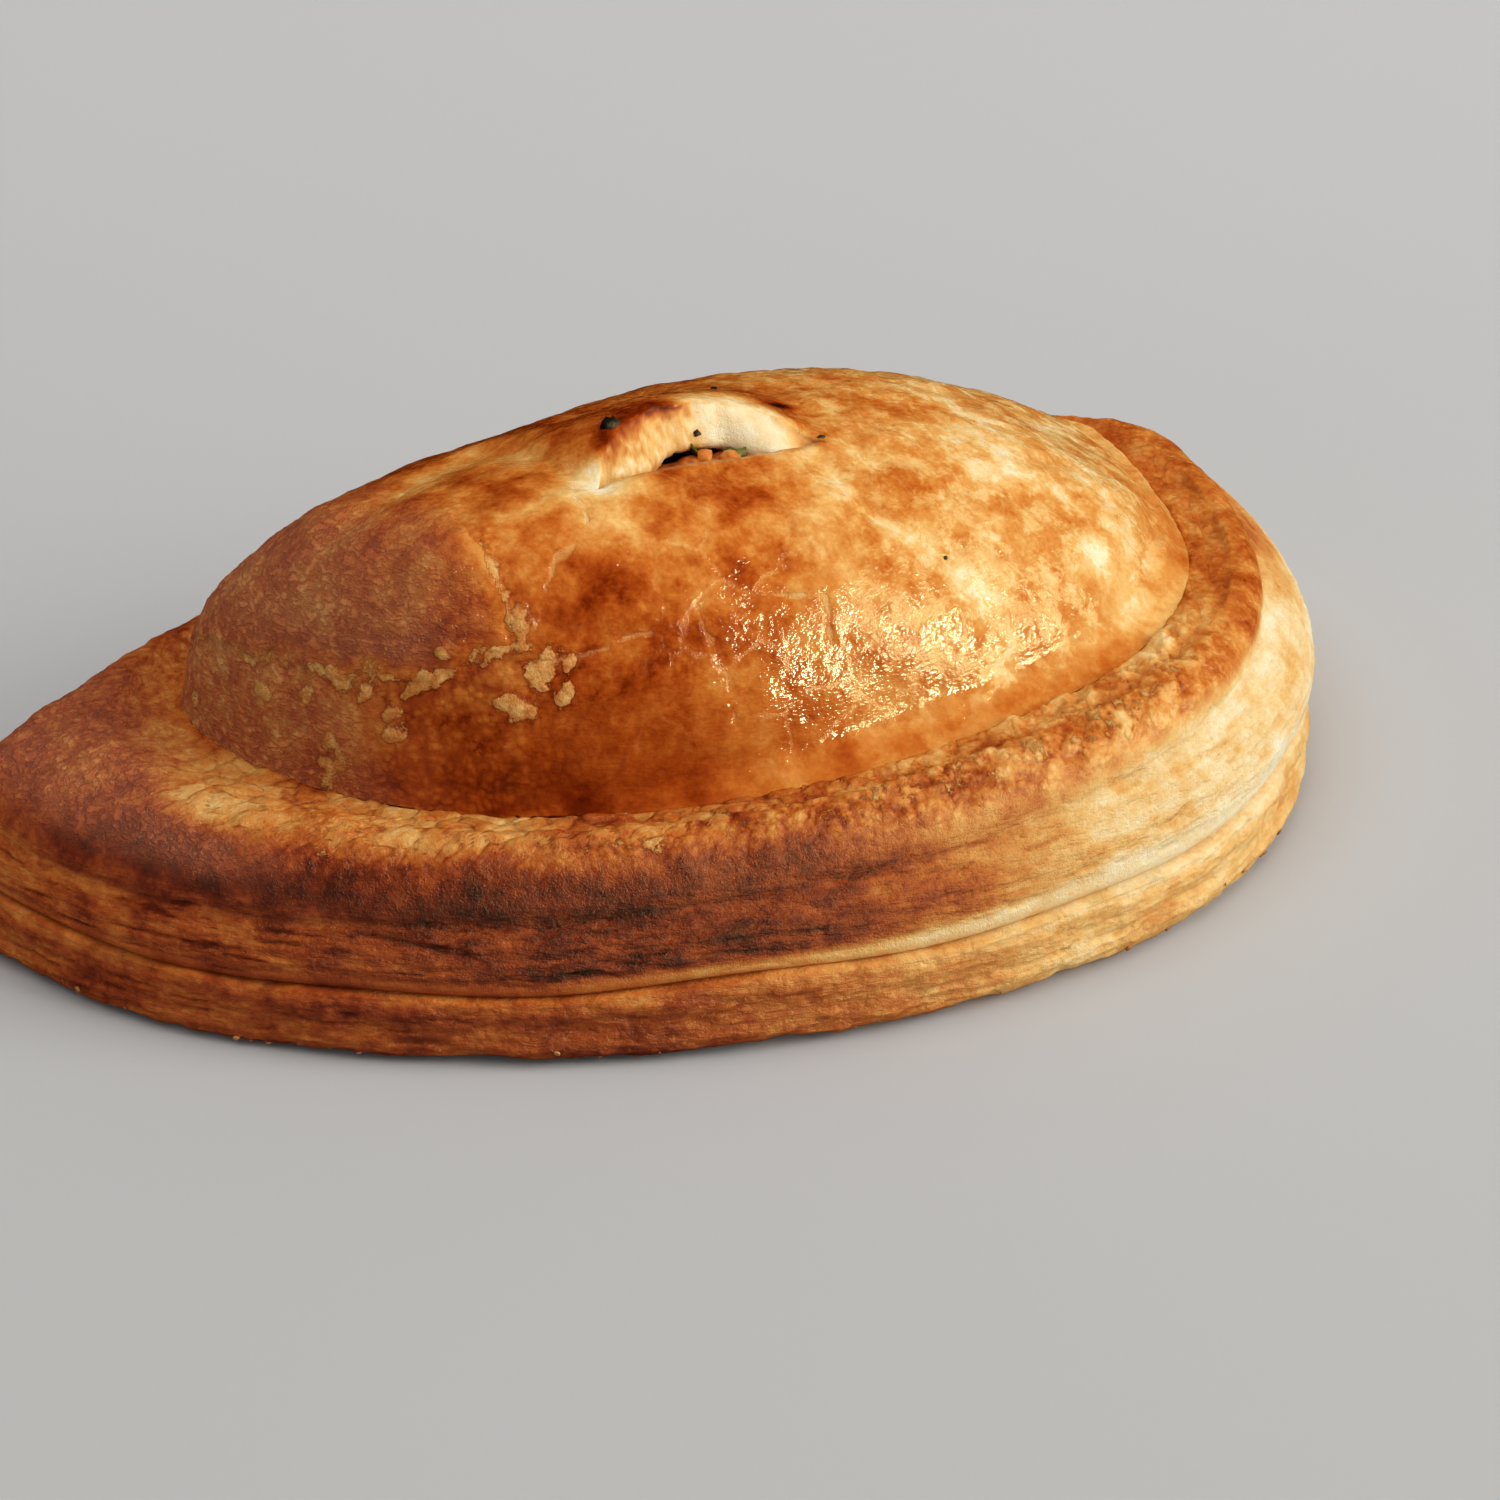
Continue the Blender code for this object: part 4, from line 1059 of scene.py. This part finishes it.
height = look.layered(
    height, (ripple, 0.5, 0.22, wet), (wrinkle, 0, 0.55, leathery), (bead, 0, 0.55, beaded),
    (streaks, 0, 1.0, leafy), (hairs, 0, 0.9, leafy), (web, 0, -0.12), (long_crack, 0, -0.30),
    (furrow, 0, -0.60), (flake, 0, 0.55))
look.shade({
    "Base Color": dusty.outputs[2], "Roughness": dull, "Normal": look.bump(height, 1.0, 0.00060),
    "Specular IOR Level": 0.30, "Subsurface Weight": 0.25, "Subsurface Radius": (1.0, 0.40, 0.12),
    "Subsurface Scale": 0.0025,
})
for piece in (lid, rim, base):
    piece.data.materials.append(look.material)
print("nodes of the baked pastry:", len(look.tree.nodes))

# %% Sauce, vegetables, loose crumbs and char
def small_finish(name, stops, scale, roughness, wet=0.0, depth=0.0003):
    """Plain mottled finish for small things."""
    made = Finish(name)
    made.shade({
        "Base Color": made.ramp(made.between(made.grain(scale, 5, 0.6), 0.3, 0.7), stops),
        "Roughness": made.layered(roughness - 0.15, (made.grain(scale * 3), 0, 0.3), clamp=True),
        "Normal": made.bump(made.grain(scale * 2, 4), 0.6, depth), "Coat Weight": wet,
    })
    return made.material


SAUCE_STOPS = ((0, (120, 46, 14)), (0.5, (166, 74, 24)), (1, (206, 122, 50)))
CRUMB_STOPS = ((0, (140, 72, 30)), (0.5, (180, 108, 50)), (1, (222, 168, 104)))
sauce = small_finish("dark_sauce", SAUCE_STOPS, 500, 0.45, 0.5)
orange = small_finish("orange_vegetable", ((0, (196, 92, 24)), (1, (232, 140, 52))), 700, 0.45, 0.4)
green = small_finish("green_vegetable", ((0, (56, 58, 16)), (1, (112, 108, 40))), 900, 0.5, 0.3)
crumb_look = small_finish("brown_crumb", CRUMB_STOPS, 60, 0.6)
char = small_finish("char", ((0, (12, 10, 10)), (1, (44, 30, 24))), 1500, 0.6, 0.0, 0.0004)
heap.data.materials.append(sauce)
print("small finishes:", [made.name for made in (sauce, orange, green, crumb_look, char)])

# %% [markdown]
# ## Strewn pieces
# Dice and greens under the vent and crumbs at the foot of the base repeat over a surface. One Geometry
# Nodes tree strews any small shape where a share kept at the surface's points allows it: it spreads points,
# turns each copy to the surface, and gives it a size of its own. The seed is fixed, so each run gives the
# same pasty.

# %% The strewing tree
STREW = bpy.data.node_groups.new("Strew over a surface", "GeometryNodeTree")
STREW.is_modifier = True
for title, kind in (
    ("Ground", "Geometry"), ("Shape", "Object"), ("Where", "String"), ("Density", "Float"),
    ("Least distance", "Float"), ("Smallest", "Float"), ("Largest", "Float"), ("Tilt", "Float"),
    ("Turn", "Float"), ("Seed", "Int"), ("Finish", "Material"),
):
    STREW.interface.new_socket(title, in_out="INPUT", socket_type="NodeSocket" + kind)
STREW.interface.new_socket("Strewn", in_out="OUTPUT", socket_type="NodeSocketGeometry")
SOCKETS = {item.name: item.identifier for item in STREW.interface.items_tree if item.in_out == "INPUT"}

strew = partial(add_node, STREW)
given = strew("NodeGroupInput").outputs
mask = strew("GeometryNodeInputNamedAttribute", {"Name": given["Where"]}, data_type="FLOAT")
points = strew("GeometryNodeDistributePointsOnFaces", {
    "Mesh": given["Ground"], "Distance Min": given["Least distance"], "Density Max": given["Density"],
    "Density Factor": mask.outputs["Attribute"], "Seed": given["Seed"]}, distribute_method="POISSON")
normal = points.outputs["Normal"]
facing = strew("FunctionNodeAlignRotationToVector", {"Vector": normal}, axis="Z")
level = strew("ShaderNodeVectorMath", {0: normal, 1: (0, 0, 1)}, operation="CROSS_PRODUCT")
lying = strew("FunctionNodeAlignRotationToVector", {
    "Rotation": facing.outputs[0], "Vector": level.outputs[0]}, axis="X", pivot_axis="Z")
most = strew("ShaderNodeCombineXYZ", {"X": given["Tilt"], "Y": given["Tilt"], "Z": given["Turn"]})
least = strew("ShaderNodeVectorMath", {0: most.outputs[0], 1: (-1, -1, -1)}, operation="MULTIPLY")
askew = strew("FunctionNodeRandomValue", {
    0: least.outputs[0], 1: most.outputs[0], "Seed": given["Seed"]}, data_type="FLOAT_VECTOR")
askew = strew("FunctionNodeEulerToRotation", {0: askew.outputs[0]})
turned = strew("FunctionNodeRotateRotation", {
    0: lying.outputs[0], 1: askew.outputs[0]}, rotation_space="LOCAL")
size = strew("FunctionNodeRandomValue", {
    2: given["Smallest"], 3: given["Largest"], "Seed": given["Seed"]}, data_type="FLOAT")
shape = strew("GeometryNodeObjectInfo", {"Object": given["Shape"]})
copies = strew("GeometryNodeInstanceOnPoints", {
    "Points": points.outputs["Points"], "Instance": shape.outputs["Geometry"], "Rotation": turned.outputs[0],
    "Scale": size.outputs[1]})
real = strew("GeometryNodeRealizeInstances", {0: copies.outputs[0]})
finished = strew("GeometryNodeSetMaterial", {"Geometry": real.outputs[0], "Material": given["Finish"]})
strew("NodeGroupOutput", {"Strewn": finished.outputs[0]})


ANY_TURN = 3.1


def strewn(name, ground, shape, where, density, least_distance, sizes, tilt, seed, finish):
    """Plain mesh object of all the copies of a shape over the ground; the shape itself goes."""
    carrier = placed(name + "_carrier", ground.data)
    spread = carrier.modifiers.new("Strew", "NODES")
    spread.node_group = STREW
    values = {
        "Shape": shape, "Where": where, "Density": density, "Least distance": least_distance,
        "Smallest": sizes[0], "Largest": sizes[1], "Tilt": tilt, "Turn": ANY_TURN, "Seed": seed,
        "Finish": finish,
    }
    for title, value in values.items():
        spread[SOCKETS[title]] = value
    graph = bpy.context.evaluated_depsgraph_get()
    mesh = bpy.data.meshes.new_from_object(carrier.evaluated_get(graph), depsgraph=graph)
    mesh.name = name
    for spent in (carrier, shape):
        bpy.data.objects.remove(spent)
    print(f"{name}: {len(mesh.polygons)} faces")
    return placed(name, mesh)


# %% Small shapes to strew
def chip(name, length, width, thickness, bow, rag, seed, corners=12):
    """Thin ragged flake, bowed along its length, with a closed edge; a few dozen faces."""
    angle = np.arange(corners) / corners * 2 * math.pi
    reach = 1 + rag * np.array([noise.noise((math.cos(a) * 1.7, math.sin(a) * 1.7, seed)) for a in angle])
    plan = np.column_stack([np.cos(angle) * length / 2, np.sin(angle) * width / 2]) * reach[:, None]
    lift = bow * (plan[:, 0] / (length / 2)) ** 2
    middles = [[0, 0, 0], [0, 0, thickness]]
    points = np.vstack([ring(plan * 0.94, lift), ring(plan, lift + thickness), middles])
    faces = []
    for i in range(corners):
        after = (i + 1) % corners
        faces += [(after, i, 2 * corners), (corners + i, corners + after, 2 * corners + 1),
                  (i, after, corners + after, corners + i)]
    return smooth_piece(name, points, faces)


def dice(name, size, seed):
    """Softened cube of vegetable, uneven as a knife leaves it."""
    steps = (-1, 0, 1)
    points = [Vector((x, y, z)) for x in steps for y in steps for z in steps if (x, y, z) != (0, 0, 0)]
    index = {tuple(round(v) for v in point): i for i, point in enumerate(points)}
    faces = []
    for axis, side, u, v in np.ndindex(3, 2, 2, 2):
        side, u, v = 2 * side - 1, u - 1, v - 1
        around = ((u, v), (u + 1, v), (u + 1, v + 1), (u, v + 1))
        corners = [tuple(np.roll((side, a, b), axis)) for a, b in around]
        faces.append([index[corner] for corner in corners[::side]])
    uneven = [1 + 0.16 * noise.noise(point * 0.9 + Vector((seed, 0, 0))) for point in points]
    soft = [0.86 if point.length > 1.6 else 1.0 for point in points]
    cut = [point * size / 2 * s * u for point, s, u in zip(points, soft, uneven)]
    return smooth_piece(name, np.array(cut), faces)


# %% Strew dice, greens and crumbs
die = dice("die", 0.0023, 3)
orange_dice = strewn("orange_dice", heap, die, "under_vent", 90000.0, 0.0030, (0.7, 1.15), 0.9, 4, orange)
leaf = chip("leaf", 0.0030, 0.0018, 0.0004, 0.0006, 0.5, 2.0)
green_bits = strewn("green_bits", heap, leaf, "under_vent", 90000.0, 0.0034, (0.6, 1.2), 0.8, 9, green)
crumb = chip("crumb", 0.0009, 0.0007, 0.0003, 0.0, 0.8, 5.0, 8)
base_crumbs = strewn("base_crumbs", base, crumb, "crumbs", 160000.0, 0.0016, (0.35, 1.1), 0.4, 12, crumb_look)

# %% [markdown]
# ## Char at the vent
# A burnt crumb sits at the left end of the curled lip, and a few black specks lie around the opening. They
# are small lumps at named places: each is dropped onto the baked lid from above, so it sits on the crust.

# %% Place the char
CHAR_SPOTS = (
    (-0.0080, -0.0200, 0.0013, 0.0011), (0.0124, -0.0090, 0.0005, 0.0005), (0.0186, -0.0256, 0.0006, 0.0003),
    (0.0036, -0.0208, 0.0005, 0.0005), (0.0258, -0.0446, 0.0003, 0.0003),
)
LUMP_ROWS, LUMP_STEPS = 5, 10
lid_tree = BVHTree.FromPolygons(baked_lid.tolist(), true_faces(lid_faces.tolist()))
lump_points, lump_faces = [], []
for number, (x, y, reach, depth) in enumerate(CHAR_SPOTS):
    hit = lid_tree.ray_cast(Vector((x, y, 1)), Vector((0, 0, -1)))[0]
    start = len(lump_points)
    for row, step in np.ndindex(LUMP_ROWS, LUMP_STEPS):
        polar, turn = (row + 1) / (LUMP_ROWS + 1) * math.pi, step / LUMP_STEPS * 2 * math.pi
        out = Vector((math.sin(polar) * math.cos(turn) * reach, math.sin(polar) * math.sin(turn) * depth,
                      math.cos(polar) * depth * 0.8))
        lump_points.append(hit + out * (1 + 0.5 * noise.noise(out * 2500 + Vector((number, 0, 0)))))
    sides = stack_faces(LUMP_ROWS, LUMP_STEPS)[:, [0, 3, 2, 1]] + start
    last = range(start + (LUMP_ROWS - 1) * LUMP_STEPS, start + LUMP_ROWS * LUMP_STEPS)
    lump_faces += sides.tolist() + [list(range(start, start + LUMP_STEPS)), list(reversed(last))]
lump_points = np.array(lump_points)
char_specks = smooth_piece("char_specks", lump_points - MIDDLE, lump_faces)
char_specks.data.materials.append(char)
print("char up to mm:", mm(lump_points[:, 2].max()), "on a lid up to", mm(baked_lid[:, 2].max()))

# %% [markdown]
# ## What each piece stands for
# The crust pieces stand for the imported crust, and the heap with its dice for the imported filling. All of
# them ride on the one body of the part.

# %% Tie the pieces to the part
crust_pieces = (lid, rim, base, base_crumbs, char_specks)
filling_pieces = (heap, orange_dice, green_bits)
for pieces, node in ((crust_pieces, "crust"), (filling_pieces, "filling")):
    for piece in pieces:
        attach(piece, "root")
        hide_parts(node)
print("pieces:", len(crust_pieces), "for the crust and", len(filling_pieces), "for the filling")

# %% [markdown]
# ## Floor, light and camera
# The pasty lies on a pale, seamless surface under soft daylight from the right. Broad lamps give the soft
# shade, small ones that only the glaze mirrors give its glints, and the sky keeps the shade open. The
# camera looks down on the front from the left with a long lens.

# %% Floor
FLOOR_CORNERS = 2.0 * np.array([(-1, -1, 0), (1, -1, 0), (1, 1, 0), (-1, 1, 0)])
floor = smooth_piece("floor", FLOOR_CORNERS, [(0, 1, 2, 3)])
pale = Finish("pale_floor")
# Painted light falloff: the floor grows lighter further from the camera, with a little random grain.
away = pale.node("ShaderNodeVectorMath", {0: pale.place, 1: (0.481, 0.877, 0.0)}, operation="DOT_PRODUCT")
away = pale.layered(away.outputs["Value"], (pale.grain(3.0, 2), 0, 0.2))
floor_grain_and_painted_falloff = pale.ramp(pale.between(away, -0.20, 0.60), ((0, (180, 180, 179)), (1, (197, 197, 198))))
pale.shade({"Base Color": floor_grain_and_painted_falloff, "Roughness": 0.9, "Specular IOR Level": 0.0})
floor.data.materials.append(pale.material)
floor.visible_glossy = False

# %% Light
VIEW_TURN = math.radians(-28.77)
GLINT_COLOUR = (1.0, 0.90, 0.46)


def from_view(x, y, z):
    """Direction on the part for one given as right, away and up in the photograph."""
    cos, sin = math.cos(VIEW_TURN), math.sin(VIEW_TURN)
    return Vector((cos * x - sin * y, sin * x + cos * y, z)).normalized()


def lamp(name, direction, distance, size, watts, colour=(1, 1, 1), mirrored=False):
    """Lamp that looks at the pasty; one that is mirrored is round and shows only as a glint in the glaze."""
    light = bpy.data.lights.new(name, "AREA")
    light.shape, light.size, light.energy, light.color = "DISK" if mirrored else "SQUARE", size, watts, colour
    made = placed(name, light)
    made.location = direction * distance
    made.rotation_euler = direction.to_track_quat("Z", "Y").to_euler()
    made.visible_glossy, made.visible_diffuse = mirrored, not mirrored


lamp("window", from_view(0.86, -0.15, 0.47), 2.2, 1.2, 35.0, (1.0, 0.97, 0.93))
lamp("bright_pane", from_view(0.90, -0.36, 0.18), 2.2, 0.32, 72.0, GLINT_COLOUR, mirrored=True)
lamp("upper_pane", from_view(0.86, -0.16, 0.46), 2.2, 0.32, 32.0, GLINT_COLOUR, mirrored=True)
lamp("ceiling", from_view(-0.15, -0.10, 1.0), 3.0, 3.0, 36.0)
world = bpy.data.worlds.new("soft_sky")
world.use_nodes = True
sky = world.node_tree.nodes["Background"]
fill(world.node_tree, sky, {"Color": (1.0, 0.985, 0.965, 1), "Strength": 0.42})
world.cycles_visibility.glossy = False
bpy.context.scene.world = world
bpy.context.scene.view_settings.view_transform = "Standard"

# %% Camera
CAMERA_PLACE, CAMERA_TURN = Vector((-0.2158, -0.4342, 0.3063)), (1.0034, 0, -0.5021)
LENS, SENSOR_WIDTH = 102.02, 36
camera_data = bpy.data.cameras.new("camera")
camera_data.sensor_width, camera_data.lens, camera_data.clip_start = SENSOR_WIDTH, LENS, 0.01
camera = placed("camera", camera_data)
camera.location = CAMERA_PLACE - Vector(MIDDLE)
camera.rotation_euler = CAMERA_TURN
bpy.context.scene.camera = camera
print("camera to the pasty, mm:", mm(camera.location.length))
